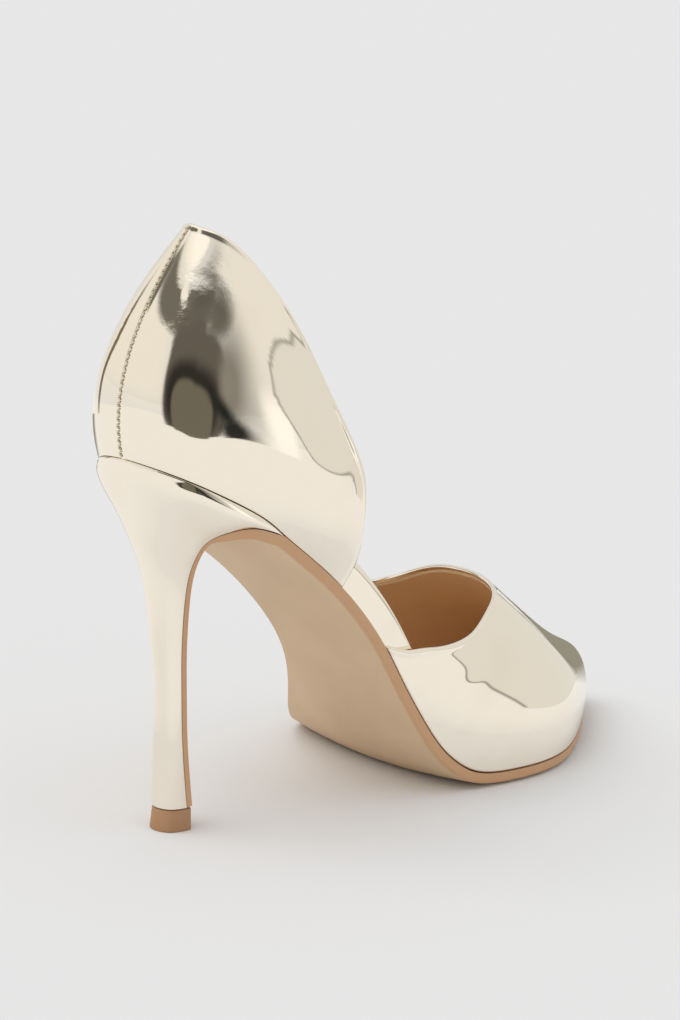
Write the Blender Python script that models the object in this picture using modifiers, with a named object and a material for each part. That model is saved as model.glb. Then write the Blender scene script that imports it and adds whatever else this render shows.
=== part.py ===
"""A d'Orsay pump for the right foot: closed toe, closed heel, both sides of the waist open.

Metres, +Z up. The origin is on the floor, under the heel's top piece. +Y runs to the toe and
+X to the outer side of the foot. Every lengthwise form follows one line, the feather: the edge
where the upper meets the sole, worked out from the tables below.
"""
import math

import bmesh
import bpy
import numpy as np
from mathutils import Vector

# Driving sizes of the last
SHOE_LENGTH = 0.2231
HEEL_SETBACK = 0.0271
SEAT_HEIGHT = 0.0998
BALL_WIDTH = 0.0800
TOE_SPRING = 0.0050
INSTEP_HEIGHT = 0.0750

# Sole, heel and insole
SOLE_THICKNESS = 0.0030
SOLE_EDGE_ROUND = 0.0008
SOLE_CAMBER = 0.0025
FLAP_THICKNESS = 0.0021
STEM_WIDTH = 0.0090
TOP_PIECE_HEIGHT = 0.0058
TOP_PIECE_FLARE = 0.0003
TOP_PIECE_CORNER = 0.30
INSOLE_THICKNESS = 0.0030
INSOLE_EDGE_ROUND = 0.0009

# Upper
UPPER_WALL = 0.0014
COUNTER_HEIGHT = 0.0580
COUNTER_LEAN = 0.0190
COUNTER_FLARE = 0.0065
COUNTER_BULGE = 0.0100
COUNTER_BOW = 0.0030
SEAM_WIDTH = 0.0020
SEAM_RAISE = 0.0004
VAMP_BULGE = 0.0030
VAMP_FULLNESS = 2.35
BAND_HEIGHT = 0.0088
BAND_THICKNESS = 0.0019

# Pieces that touch keep this gap
CLEARANCE = 0.0003

OUTER = 1.0
INNER = -1.0

# Steps across the far side of a slab, and along half of the seat's edge
FAR_SIDE_STEPS = 6
SEAT_STEPS = 12

# Short way along a table, in rows, over which a direction is measured
ROW_STEP = 0.05

# Edges turned by more than this many degrees stay sharp
SHARP_ANGLE = 35

# The feather line, one row for each section across the last, from the back of the seat to the
# toe. along: share of SHOE_LENGTH. rise: share of the seat's height over the sole. spring: share
# of TOE_SPRING. inner, outer: half widths, shares of BALL_WIDTH. skew: how far the inner end
# of the section lies forward, for each metre of width. camber: how far the sole's underside
# swells down between its edges, share of SOLE_CAMBER.
FEATHER_COLUMNS = ("along", "rise", "spring", "inner", "outer", "skew", "camber")
FEATHER = [
    (0.000, 1.000, 0.00, 0.000, 0.000, 0.00, 0.0),
    (0.007, 0.992, 0.00, 0.095, 0.095, 0.00, 0.0),
    (0.023, 0.975, 0.00, 0.165, 0.168, 0.00, 0.0),
    (0.054, 0.942, 0.00, 0.228, 0.234, 0.00, 0.0),
    (0.121, 0.868, 0.00, 0.274, 0.281, 0.00, 0.0),
    (0.166, 0.802, 0.00, 0.279, 0.285, 0.00, 0.0),
    (0.220, 0.724, 0.00, 0.269, 0.276, 0.00, 0.2),
    (0.274, 0.642, 0.00, 0.258, 0.265, 0.00, 0.3),
    (0.328, 0.545, 0.00, 0.255, 0.256, 0.01, 0.4),
    (0.377, 0.433, 0.00, 0.254, 0.255, 0.03, 0.5),
    (0.417, 0.318, 0.00, 0.285, 0.264, 0.07, 0.6),
    (0.458, 0.198, 0.00, 0.367, 0.280, 0.09, 0.9),
    (0.498, 0.098, 0.00, 0.470, 0.298, 0.10, 1.1),
    (0.543, 0.030, 0.00, 0.564, 0.318, 0.09, 1.1),
    (0.592, 0.002, 0.12, 0.620, 0.337, 0.07, 0.6),
    (0.659, 0.000, 0.12, 0.640, 0.346, 0.04, 0.4),
    (0.731, 0.000, 0.14, 0.615, 0.304, 0.00, 0.4),
    (0.803, 0.000, 0.24, 0.543, 0.208, 0.00, 0.4),
    (0.866, 0.000, 0.42, 0.458, 0.100, 0.00, 0.4),
    (0.919, 0.000, 0.64, 0.380, -0.008, 0.00, 0.4),
    (0.960, 0.000, 0.83, 0.319, -0.100, 0.00, 0.3),
    (0.987, 0.000, 0.94, 0.273, -0.167, 0.00, 0.2),
    (0.997, 0.000, 0.99, 0.246, -0.204, 0.00, 0.1),
    (1.000, 0.000, 1.00, 0.225, -0.225, 0.00, 0.0),
]
BREAST_ROW = 5
TOE_ROW = len(FEATHER) - 1

# The seat's front corner lies just behind the breast, where its edge runs out
CORNER_ROW = 4.9

# The sole and the insole end short of the tip, inside the vamp
SOLE_END_ROW = TOE_ROW - 0.4
INSOLE_START_ROW = 0.25
INSOLE_END_ROW = TOE_ROW - 1.5

# The heel, one row for each section from the top piece up to the seat. A section is tilted: it
# spans from its front edge on the breast to its back. front, back: distance behind the top
# piece's centre, shares of HEEL_SETBACK. front_up, back_up: shares of the way from the top
# piece up to the seat. stem: half width, share of half the STEM_WIDTH. spread: share of the way
# from the stem's half width to the seat's.
HEEL_COLUMNS = ("front", "front_up", "stem", "spread", "back", "back_up")
HEEL = [
    (-0.018, 0.000, 1.00, 0.000, 0.213, 0.000),
    (0.018, 0.063, 0.94, 0.000, 0.248, 0.063),
    (0.085, 0.187, 0.86, 0.000, 0.278, 0.187),
    (0.133, 0.319, 0.81, 0.000, 0.314, 0.319),
    (0.188, 0.450, 0.87, 0.000, 0.391, 0.456),
    (0.244, 0.575, 0.90, 0.056, 0.487, 0.591),
    (0.292, 0.666, 0.90, 0.158, 0.576, 0.698),
    (0.325, 0.735, 0.90, 0.318, 0.700, 0.787),
    (0.321, 0.782, 0.90, 0.494, 0.795, 0.853),
    (0.236, 0.814, 0.90, 0.724, 0.878, 0.908),
    (0.044, 0.829, 0.90, 0.921, 0.944, 0.954),
    (-0.166, 0.817, 0.90, 0.990, 0.970, 0.983),
]

# The counter, one row for each section from the back seam to the front edge. foot: row of the
# feather table where it stands. height, lean: how far its top lies above and in front of its
# foot, shares of COUNTER_HEIGHT and COUNTER_LEAN. outer, inner: how far the top lies outside
# its foot on either side, shares of COUNTER_FLARE. low, high: bulge of the wall's lower and
# upper third, shares of COUNTER_BULGE. bow: bulge forward, share of COUNTER_BOW.
COUNTER_COLUMNS = ("foot", "height", "lean", "outer", "inner", "low", "high", "bow")
COUNTER = [
    (0.00, 1.000, 1.00, 0.00, 0.00, 1.37, 0.95, 0.0),
    (1.00, 1.000, 1.02, -0.60, -0.54, 1.40, 0.98, 0.0),
    (2.00, 0.985, 1.07, -0.92, -0.80, 1.32, 0.98, 0.0),
    (3.00, 0.918, 1.05, -1.00, -0.52, 1.17, 0.94, 0.0),
    (4.00, 0.830, 0.70, -0.75, -0.05, 0.98, 0.88, 0.0),
    (5.00, 0.695, 0.54, -0.06, 0.82, 0.82, 0.66, 0.0),
    (6.00, 0.540, 0.30, 0.92, 1.38, 0.50, 0.34, 0.2),
    (6.60, 0.435, 0.22, 1.00, 1.34, 0.26, 0.18, 0.5),
    (7.17, 0.340, 0.03, 0.78, 1.06, 0.05, 0.05, 1.0),
]

# The vamp's own sizes at rows of the feather table. crown: height of the arch, share of
# INSTEP_HEIGHT. inner, outer: bulge of either side over the sole, shares of VAMP_BULGE.
VAMP_START_ROW = 8
VAMP_COLUMNS = ("crown", "inner", "outer")
VAMP = [
    (0.930, 1.00, 0.20),
    (0.970, 1.00, 0.20),
    (1.000, 1.00, 0.20),
    (0.995, 1.00, 0.20),
    (0.960, 0.95, 0.20),
    (0.890, 0.60, 0.25),
    (0.805, 0.35, 0.30),
    (0.675, 0.35, 0.35),
    (0.535, 0.40, 0.40),
    (0.410, 0.40, 0.40),
    (0.310, 0.35, 0.35),
    (0.232, 0.30, 0.30),
    (0.172, 0.25, 0.25),
    (0.116, 0.15, 0.15),
    (0.062, 0.08, 0.08),
    (0.000, 0.00, 0.00),
]

# The vamp's topline, from the tip of the outer wing over the throat to the tip of the inner
# wing. around: share of the way over the arch. row: row of the feather table.
TOPLINE_COLUMNS = ("around", "row")
TOPLINE = [
    (0.000, 9.05),
    (0.027, 10.02),
    (0.066, 10.92),
    (0.138, 12.42),
    (0.250, 14.00),
    (0.370, 14.86),
    (0.500, 15.20),
    (0.615, 15.38),
    (0.720, 15.18),
    (0.812, 14.05),
    (0.892, 11.95),
    (0.969, 10.20),
    (1.000, 9.10),
]

# The bands run from under the counter to under the vamp's wings
BAND_START_ROW = 6.4
BAND_END_ROW = 10.1

GOLD = dict(color=(0.86, 0.80, 0.68, 1.0), roughness=0.12, metallic=1.0)
TAN_SOLE = dict(color=(0.48, 0.34, 0.22, 1.0), roughness=0.55, metallic=0.0)
TAN_LINING = dict(color=(0.42, 0.26, 0.15, 1.0), roughness=0.60, metallic=0.0)


def row_at(columns, table, place, odd=None):
    """Reads a table between its rows, by name, with a smooth curve through them.

    Where odd is given, the table starts on the middle plane, and the columns that odd names
    change sign across it.
    """
    rows = np.array(table)
    last = len(rows) - 1
    place = min(max(place, 0.0), last)
    first = min(int(place), last - 1)
    if first > 0:
        before = rows[first - 1]
    elif odd is None:
        before = 2 * rows[0] - rows[1]
    else:
        before = rows[1] * np.array([-1.0 if name in odd else 1.0 for name in columns])
    after = rows[first + 2] if first + 2 <= last else 2 * rows[last] - rows[last - 1]
    here, there = rows[first], rows[first + 1]
    step = place - first
    leave = (there - before) / 2
    arrive = (after - here) / 2
    values = ((2 * step**3 - 3 * step**2 + 1) * here
              + (step**3 - 2 * step**2 + step) * leave
              + (3 * step**2 - 2 * step**3) * there
              + (step**3 - step**2) * arrive)
    return dict(zip(columns, values))


def feather_row(place):
    """The sizes of the feather line's section, by name."""
    return row_at(FEATHER_COLUMNS, FEATHER, place, odd=("inner", "outer"))


def section_middle(place):
    """The point of the feather's section on the plane x = 0, on top of the sole."""
    row = feather_row(place)
    y = SHOE_LENGTH * row["along"] - HEEL_SETBACK
    rise = max(row["rise"], 0.0) * (SEAT_HEIGHT - SOLE_THICKNESS)
    z = SOLE_THICKNESS + rise + max(row["spring"], 0.0) * TOE_SPRING
    return np.array([0.0, y, z])


def feather(place, side):
    """A point of the feather line, on its outer or inner side."""
    row = feather_row(place)
    x = BALL_WIDTH * (row["outer"] if side == OUTER else -row["inner"])
    return section_middle(place) + np.array([x, -row["skew"] * x, 0.0])


def sole_up(place):
    """The direction at right angles to the sole's top, in the plane of the shoe's length."""
    ahead = section_middle(min(place + ROW_STEP, TOE_ROW))
    behind = section_middle(max(place - ROW_STEP, 0.0))
    along = ahead - behind
    up = np.array([0.0, -along[2], along[1]])
    return up / np.linalg.norm(up)


def outward(place, side):
    """The level direction that points away from the last, at right angles to the feather."""
    if place == 0.0:
        return np.array([0.0, -1.0, 0.0])
    ahead = feather(min(place + ROW_STEP, TOE_ROW), side)
    behind = feather(max(place - ROW_STEP, 0.0), side)
    run = ahead - behind
    away = side * np.array([run[1], -run[0], 0.0])
    return away / np.linalg.norm(away)


def spaced(start, end, count):
    """Evenly spaced numbers from start to end, both included."""
    return [start + (end - start) * i / count for i in range(count + 1)]


def new_object(name, points, faces, collection):
    """An object from points and faces, shaded smooth, its sharp edges kept."""
    mesh = bpy.data.meshes.new(name)
    mesh.from_pydata([tuple(p) for p in points], [], faces)
    mesh.validate()
    work = bmesh.new()
    work.from_mesh(mesh)
    bmesh.ops.remove_doubles(work, verts=work.verts, dist=1e-6)
    bmesh.ops.recalc_face_normals(work, faces=work.faces)
    work.to_mesh(mesh)
    work.free()
    mesh.shade_smooth()
    mesh.set_sharp_from_angle(angle=math.radians(SHARP_ANGLE))
    piece = bpy.data.objects.new(name, mesh)
    collection.objects.link(piece)
    return piece


def loft(name, rings, collection):
    """A closed solid through rings of equally many points, capped at both ends."""
    count = len(rings[0])
    points = [p for ring in rings for p in ring]
    faces = []
    for level in range(len(rings) - 1):
        low, high = level * count, (level + 1) * count
        for i in range(count):
            j = (i + 1) % count
            faces.append((low + i, low + j, high + j, high + i))
    faces.append(tuple(range(count))[::-1])
    top = (len(rings) - 1) * count
    faces.append(tuple(range(top, top + count)))
    return new_object(name, points, faces, collection)


def sheet(name, lines, collection):
    """An open surface through lines of equally many points."""
    count = len(lines[0])
    points = [p for line in lines for p in line]
    faces = []
    for n in range(len(lines) - 1):
        here, there = n * count, (n + 1) * count
        for i in range(count - 1):
            faces.append((here + i, here + i + 1, there + i + 1, there + i))
    return new_object(name, points, faces, collection)


def thicken(piece, wall):
    """Gives an open surface its wall, measured inwards."""
    solid = piece.modifiers.new("wall", "SOLIDIFY")
    solid.thickness = wall
    solid.offset = -1.0
    solid.use_even_offset = True
    solid.use_rim = True


def face_outwards(piece, inside):
    """Turns an open surface so that its faces look away from a point inside the shoe."""
    work = bmesh.new()
    work.from_mesh(piece.data)
    centre = Vector(inside)
    score = sum(f.normal.dot(f.calc_center_median() - centre) * f.calc_area() for f in work.faces)
    if score < 0:
        bmesh.ops.reverse_faces(work, faces=work.faces)
    work.to_mesh(piece.data)
    work.free()


def material(name, color, roughness, metallic):
    """A Principled material with the piece's own colour and gloss."""
    finish = bpy.data.materials.new(name)
    finish.use_nodes = True
    shader = finish.node_tree.nodes["Principled BSDF"]
    shader.inputs["Base Color"].default_value = color
    shader.inputs["Roughness"].default_value = roughness
    shader.inputs["Metallic"].default_value = metallic
    return finish


def rounded_strip(outer, inner, down, thickness, edge, swell=0.0):
    """A section of a slab, from the outer end of its top, with rounded far edges.

    Its far side swells between its edges.
    """
    across = inner - outer
    width = max(np.linalg.norm(across), 1e-9)
    half_edge = edge * (1 - math.sqrt(0.5))
    inset = across / width
    far_outer = outer + down * thickness
    far_inner = inner + down * thickness
    section = [
        outer,
        far_outer - down * edge,
        far_outer - down * half_edge + inset * half_edge,
        far_outer + inset * edge,
    ]
    start, end = section[-1], far_inner - inset * edge
    for share in spaced(0.0, 1.0, FAR_SIDE_STEPS)[1:-1]:
        sag = swell * (1 - (2 * share - 1)**2)
        section.append(start + (end - start) * share + down * sag)
    return section + [
        end,
        far_inner - down * half_edge - inset * half_edge,
        far_inner - down * edge,
        inner,
    ]


def heel_row(place):
    """The sizes of one heel section, by name, in metres."""
    row = row_at(HEEL_COLUMNS, HEEL, place)
    foot = TOP_PIECE_HEIGHT + CLEARANCE
    rise = SEAT_HEIGHT - foot
    stem = row["stem"] * STEM_WIDTH / 2
    seat = feather(CORNER_ROW, OUTER)[0]
    return dict(
        front=np.array([0.0, -row["front"] * HEEL_SETBACK, foot + row["front_up"] * rise]),
        back=np.array([0.0, -row["back"] * HEEL_SETBACK, foot + row["back_up"] * rise]),
        half=stem + row["spread"] * (seat - stem),
    )


def breast_out(place):
    """The direction that the heel's breast faces, away from the heel."""
    last = len(HEEL) - 1
    above = heel_row(min(place + ROW_STEP, last))["front"]
    below = heel_row(max(place - ROW_STEP, 0.0))["front"]
    run = above - below
    out = np.array([0.0, run[2], -run[1]])
    return out / np.linalg.norm(out)


def seat_outline(count):
    """The seat's edge as (x, back) shares, from its outer front corner round to its back."""
    corner = feather(CORNER_ROW, OUTER)
    back = feather(0.0, OUTER)
    shares = []
    for place in spaced(CORNER_ROW, 0.0, count):
        point = feather(place, OUTER)
        shares.append((point[0] / corner[0], (corner[1] - point[1]) / (corner[1] - back[1])))
    return shares


def mirrored_ring(half_ring):
    """A ring from its outer half, which ends on the middle plane."""
    flip = np.array([-1.0, 1.0, 1.0])
    return half_ring + [p * flip for p in reversed(half_ring[:-1])]


def heel_ring(place):
    """One tilted section of the heel, outer front corner round the back to the inner one."""
    row = heel_row(place)
    half_ring = []
    for wide, deep in seat_outline(SEAT_STEPS):
        point = row["front"] + deep * (row["back"] - row["front"])
        half_ring.append(point + np.array([wide * row["half"], 0.0, 0.0]))
    return mirrored_ring(half_ring)


def seat_ring():
    """The heel's top edge, under the counter and the insole."""
    outer = [feather(p, OUTER) for p in spaced(CORNER_ROW, 0.0, SEAT_STEPS)]
    inner = [feather(p, INNER) for p in spaced(0.0, CORNER_ROW, SEAT_STEPS)]
    return outer + inner[1:]


def make_heel(collection):
    """The stiletto heel, with its breast open to the sole's flap and wings up to the waist."""
    levels = spaced(0.0, len(HEEL) - 1, 3 * (len(HEEL) - 1))
    rings = [heel_ring(p) for p in levels] + [seat_ring()]
    count = len(rings[0])
    points = [p for ring in rings for p in ring]
    faces = []
    for level in range(len(rings) - 1):
        low, high = level * count, (level + 1) * count
        for i in range(count):
            j = (i + 1) % count
            faces.append((low + i, low + j, high + j, high + i))
    faces.append(tuple(range(count)))
    top = (len(rings) - 1) * count
    for i in range(count // 2):
        j = count - 1 - i
        if j - 1 > i + 1:
            faces.append((top + i, top + i + 1, top + j - 1, top + j))
        else:
            faces.append((top + i, top + i + 1, top + j))
    return new_object("heel", points, faces, collection)


def make_top_piece(collection):
    """The tan top piece that the heel stands on, under the heel and the sole's flap."""
    row = heel_row(0.0)
    front = row["front"] + breast_out(0.0) * (CLEARANCE + FLAP_THICKNESS)
    rounding = 1 - math.sqrt(0.5)
    rings = []
    for up, grow in ((0.0, TOP_PIECE_FLARE), (TOP_PIECE_HEIGHT, 0.0)):
        half = row["half"] + grow
        corner = TOP_PIECE_CORNER * half
        half_ring = [
            np.array([0.0, front[1] + grow, up]),
            np.array([half - corner, front[1] + grow, up]),
            np.array([half - corner * rounding, front[1] + grow - corner * rounding, up]),
            np.array([half, front[1] + grow - corner, up]),
        ]
        for wide, deep in seat_outline(SEAT_STEPS)[1:]:
            y = row["front"][1] + deep * (row["back"][1] - grow - row["front"][1])
            half_ring.append(np.array([wide * half, y, up]))
        flip = np.array([-1.0, 1.0, 1.0])
        rings.append(half_ring + [p * flip for p in reversed(half_ring[1:-1])])
    return loft("top_piece", rings, collection)


def make_outsole(collection):
    """The tan sole: down the heel's breast as a flap, and forward under waist and tread."""
    sections = []
    last = len(HEEL) - 1
    for place in spaced(0.0, last, 3 * last):
        row = heel_row(place)
        out = breast_out(place)
        side = np.array([row["half"], 0.0, 0.0])
        inside = row["front"] + out * CLEARANCE
        full = place / last
        thickness = FLAP_THICKNESS + (SOLE_THICKNESS - FLAP_THICKNESS) * full**4
        sections.append(rounded_strip(inside + side, inside - side, out, thickness, SOLE_EDGE_ROUND))
    for place in spaced(BREAST_ROW, TOE_ROW - 0.5, 2 * (TOE_ROW - BREAST_ROW) - 1) + [SOLE_END_ROW]:
        outer = feather(place, OUTER)
        inner = feather(place, INNER)
        edge = min(SOLE_EDGE_ROUND, 0.3 * (outer[0] - inner[0]))
        swell = SOLE_CAMBER * feather_row(place)["camber"]
        section = rounded_strip(outer, inner, -sole_up(place), SOLE_THICKNESS, edge, swell)
        for point in section:
            point[2] = max(point[2], 0.0)
        sections.append(section)
    return loft("outsole", sections, collection)


def insole_inset(place):
    """How far the insole stays inside the feather: behind the walls, and behind the bands."""
    behind_wall = UPPER_WALL + 2 * CLEARANCE
    behind_band = UPPER_WALL + BAND_THICKNESS + 3 * CLEARANCE
    ramp = 0.4
    start = BAND_START_ROW - 0.2 - ramp
    end = BAND_END_ROW + 0.2 + ramp
    near = min(max(min(place - start, end - place) / ramp, 0.0), 1.0)
    return behind_wall + (behind_band - behind_wall) * near


def make_insole(collection):
    """The padded insole, from the heel cup to the toe."""
    sections = []
    places = [INSOLE_START_ROW, 0.6] + spaced(1.0, INSOLE_END_ROW, 44)
    for place in places:
        up = sole_up(place)
        inset = insole_inset(place)
        ends = []
        for side in (OUTER, INNER):
            ends.append(feather(place, side) - outward(place, side) * inset + up * CLEARANCE)
        sections.append(rounded_strip(*ends, up, INSOLE_THICKNESS, INSOLE_EDGE_ROUND))
    return loft("insole", sections, collection)


def counter_point(place, side, v):
    """A point of the counter's outer face. place counts rows from the seam, v runs upwards."""
    row = row_at(COUNTER_COLUMNS, COUNTER, place, odd=("foot", "outer", "inner"))
    foot = feather(row["foot"], side) + sole_up(row["foot"]) * CLEARANCE
    away = outward(row["foot"], side)
    flare = COUNTER_FLARE * (row["outer"] if side == OUTER else row["inner"])
    top = foot + np.array([side * flare, COUNTER_LEAN * row["lean"], COUNTER_HEIGHT * row["height"]])
    forward = np.array([0.0, COUNTER_BOW * row["bow"], 0.0])
    low = foot + (top - foot) / 3 + away * COUNTER_BULGE * row["low"] + forward
    high = foot + (top - foot) * 2 / 3 + away * COUNTER_BULGE * row["high"] + forward
    return ((1 - v)**3 * foot + 3 * v * (1 - v)**2 * low
            + 3 * v**2 * (1 - v) * high + v**3 * top)


def make_counter(collection):
    """The closed heel of the upper, with its back seam raised in the wall."""
    last = len(COUNTER) - 1
    seam = SEAM_WIDTH / 2 / (BALL_WIDTH * FEATHER[1][3])
    half_places = [seam * 0.6, seam, seam * 1.5] + spaced(seam * 1.5, last, 18)[1:]
    lines = []
    for side, places in ((INNER, half_places[::-1]), (OUTER, [0.0] + half_places)):
        for place in places:
            line = []
            for v in spaced(0.0, 1.0, 12):
                point = counter_point(place, side, v)
                if place <= seam:
                    point = point + np.array([0.0, -SEAM_RAISE, 0.0])
                line.append(point)
            lines.append(line)
    piece = sheet("counter", lines, collection)
    face_outwards(piece, INSIDE_HEEL)
    thicken(piece, UPPER_WALL)
    return piece


def vamp_point(place, around):
    """A point of the vamp's outer face: a section's place, and the share over its arch."""
    sizes = row_at(VAMP_COLUMNS, VAMP, place - VAMP_START_ROW)
    outer = feather(place, OUTER)
    inner = feather(place, INNER)
    middle = (outer + inner) / 2
    half = (outer - inner) / 2
    angle = math.pi * around
    power = 2 / VAMP_FULLNESS
    wide = math.copysign(abs(math.cos(angle)) ** power, math.cos(angle))
    high = max(math.sin(angle), 0.0) ** power
    bulge = VAMP_BULGE * (sizes["outer"] if around < 0.5 else sizes["inner"])
    swell = math.sin(math.pi * min(high * 1.15, 1.0)) * bulge
    side = np.array([math.copysign(swell, wide), 0.0, 0.0])
    crown = max(sizes["crown"], 0.0) * INSTEP_HEIGHT
    return middle + half * wide + side + np.array([0.0, 0.0, crown * high]) + sole_up(place) * CLEARANCE


def make_vamp(collection):
    """The closed front of the upper, from its two wings over the throat to the toe."""
    last = len(TOPLINE) - 1
    lines = []
    for n in spaced(0.0, last, 3 * last):
        edge = row_at(TOPLINE_COLUMNS, TOPLINE, n)
        around = min(max(edge["around"], 0.0), 1.0)
        line = []
        for v in spaced(0.0, 1.0, 18):
            place = edge["row"] + (TOE_ROW - edge["row"]) * v
            line.append(vamp_point(place, around))
        lines.append(line)
    piece = sheet("vamp", lines, collection)
    face_outwards(piece, INSIDE_TOE)
    thicken(piece, UPPER_WALL)
    return piece


def make_band(name, side, collection):
    """A low gold band along one side of the waist, between counter and vamp."""
    rings = []
    for place in spaced(BAND_START_ROW, BAND_END_ROW, 14):
        up = sole_up(place)
        away = outward(place, side)
        out = feather(place, side) - away * (UPPER_WALL + CLEARANCE) + up * CLEARANCE
        back = out - away * BAND_THICKNESS
        top = BAND_HEIGHT - BAND_THICKNESS / 2
        centre = (out + back) / 2 + up * top
        ring = [back, out]
        for i in range(5):
            angle = math.pi * i / 4
            ring.append(centre + away * math.cos(angle) * BAND_THICKNESS / 2
                        + up * math.sin(angle) * BAND_THICKNESS / 2)
        rings.append(ring)
    return loft(name, rings, collection)


INSIDE_HEEL = section_middle(4.0) + np.array([0.0, 0.0, 0.3 * COUNTER_HEIGHT])
INSIDE_TOE = section_middle(16.0) + np.array([0.0, 0.0, 0.1 * INSTEP_HEIGHT])


def main():
    for old in list(bpy.data.objects):
        bpy.data.objects.remove(old, do_unlink=True)
    shoe = bpy.data.collections.new("dorsay_pump")
    bpy.context.scene.collection.children.link(shoe)
    pieces = [
        (make_outsole(shoe), TAN_SOLE),
        (make_heel(shoe), GOLD),
        (make_top_piece(shoe), TAN_SOLE),
        (make_insole(shoe), TAN_LINING),
        (make_counter(shoe), GOLD),
        (make_vamp(shoe), GOLD),
        (make_band("waist_band_outer", OUTER, shoe), GOLD),
        (make_band("waist_band_inner", INNER, shoe), GOLD),
    ]
    for piece, finish in pieces:
        piece.data.materials.append(material(piece.name + "_finish", **finish))


main()
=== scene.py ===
# %% [markdown]
# A d'Orsay pump has a closed toe and a closed heel, and its sides are cut away at the waist. This
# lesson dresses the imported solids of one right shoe: a mirror-bright pale gold leather outside, tan
# leather inside and underneath. The solids say where everything is. Here the same forms are made
# again from the same named sizes, only much finer, because a mirror shows every flat facet.

import math

import bmesh
import bpy
import numpy as np
from mathutils import Matrix, Vector
from mathutils.kdtree import KDTree


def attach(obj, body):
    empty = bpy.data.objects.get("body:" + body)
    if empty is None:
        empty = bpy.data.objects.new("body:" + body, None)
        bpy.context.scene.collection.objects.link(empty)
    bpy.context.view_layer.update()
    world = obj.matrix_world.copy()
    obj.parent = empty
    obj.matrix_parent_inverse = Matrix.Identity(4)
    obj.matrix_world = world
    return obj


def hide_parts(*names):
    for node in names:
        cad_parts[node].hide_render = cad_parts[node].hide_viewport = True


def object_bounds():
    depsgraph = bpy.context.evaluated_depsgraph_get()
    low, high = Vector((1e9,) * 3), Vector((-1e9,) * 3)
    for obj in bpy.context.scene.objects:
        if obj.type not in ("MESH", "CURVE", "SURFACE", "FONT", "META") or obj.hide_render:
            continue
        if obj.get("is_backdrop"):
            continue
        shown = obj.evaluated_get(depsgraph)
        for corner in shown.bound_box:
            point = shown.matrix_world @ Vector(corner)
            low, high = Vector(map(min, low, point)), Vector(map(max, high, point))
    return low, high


def in_mm(box):
    """A box in millimetres, for a line of print."""
    return [[round(1000 * c, 1) for c in corner] for corner in box]


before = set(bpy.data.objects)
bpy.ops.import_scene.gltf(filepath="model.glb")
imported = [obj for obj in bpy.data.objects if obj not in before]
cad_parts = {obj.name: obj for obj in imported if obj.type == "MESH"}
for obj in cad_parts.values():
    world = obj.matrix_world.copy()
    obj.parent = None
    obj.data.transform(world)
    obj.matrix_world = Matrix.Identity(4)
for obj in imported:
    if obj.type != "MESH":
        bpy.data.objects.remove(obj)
CAD_BOX = [list(corner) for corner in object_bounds()]
print("nodes:", sorted(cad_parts))
print("box of the solids, mm:", in_mm(CAD_BOX))

# %% [markdown]
# The camera stands where a photographer would, a little above the shoe and behind its outer side,
# with a long lens so that the heel and the toe keep nearly the same scale. It is rolled a few
# degrees, which makes the slim heel look lively. Aiming it at the middle of the shoe, not sliding
# the picture with lens shift, keeps the same set-up useful from any other side.

# %% Camera
CAMERA_PLACE = Vector((0.5666, -0.6171, 0.2623))
CAMERA_AIM = Vector((-0.0105, 0.0700, 0.0745))
CAMERA_ROLL = math.radians(4.6)
FRAME_HEIGHT_MM = 36.0
LENS_MM = 118.9


def new_object(name, data):
    """An object that shows a mesh, a lens or a light in the scene."""
    thing = bpy.data.objects.new(name, data)
    bpy.context.scene.collection.objects.link(thing)
    return thing


def make_camera():
    """A camera at its place, turned to its aim and then rolled."""
    lens = bpy.data.cameras.new("camera")
    lens.sensor_fit = "VERTICAL"
    lens.sensor_height = FRAME_HEIGHT_MM
    lens.lens = LENS_MM
    lens.clip_start = 0.01
    lens.clip_end = 60.0
    camera = new_object("camera", lens)
    turn = (CAMERA_AIM - CAMERA_PLACE).to_track_quat("-Z", "Y").to_matrix().to_4x4()
    camera.matrix_world = (Matrix.Translation(CAMERA_PLACE) @ turn
                           @ Matrix.Rotation(CAMERA_ROLL, 4, "Z"))
    bpy.context.scene.camera = camera
    return camera


camera = make_camera()
bpy.context.scene.view_settings.view_transform = "Standard"
print("camera to shoe, m:", round((CAMERA_AIM - CAMERA_PLACE).length, 3))

# %% [markdown]
# A plain pale sweep carries the shoe. It is one large matt plane, lit evenly from all round by the
# world, so it has no horizon in the picture and only a soft shadow under the sole. One broad sun
# from high behind gives that shadow a direction. The sun is kept out of mirror reflections,
# because its hard disc would show in the gold.

# %% Floor, world and key light
MM = 0.001
FLOOR_HALF = 14.0
FLOOR_TONE = 0.83
WORLD_TONE = 0.70
KEY_STRENGTH = 1.02
KEY_SPREAD = math.radians(50)
KEY_TURN = (math.radians(32), math.radians(-14), 0.0)


def make_floor():
    """The sweep that the shoe stands on."""
    mesh = bpy.data.meshes.new("floor")
    corners = [(-1, -1), (1, -1), (1, 1), (-1, 1)]
    mesh.from_pydata([(x * FLOOR_HALF, y * FLOOR_HALF, 0) for x, y in corners], [], [(0, 1, 2, 3)])
    finish = bpy.data.materials.new("pale_sweep")
    finish.use_nodes = True
    shader = finish.node_tree.nodes["Principled BSDF"]
    shader.inputs["Base Color"].default_value = (FLOOR_TONE, FLOOR_TONE, FLOOR_TONE, 1.0)
    shader.inputs["Roughness"].default_value = 0.9
    shader.inputs["Specular IOR Level"].default_value = 0.0
    mesh.materials.append(finish)
    new_object("floor", mesh)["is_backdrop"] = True


def make_world():
    """The same soft light from every side."""
    world = bpy.data.worlds.new("studio")
    world.use_nodes = True
    back = world.node_tree.nodes["Background"]
    back.inputs["Color"].default_value = (WORLD_TONE, WORLD_TONE, WORLD_TONE, 1.0)
    back.inputs["Strength"].default_value = 1.0
    bpy.context.scene.world = world


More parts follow.
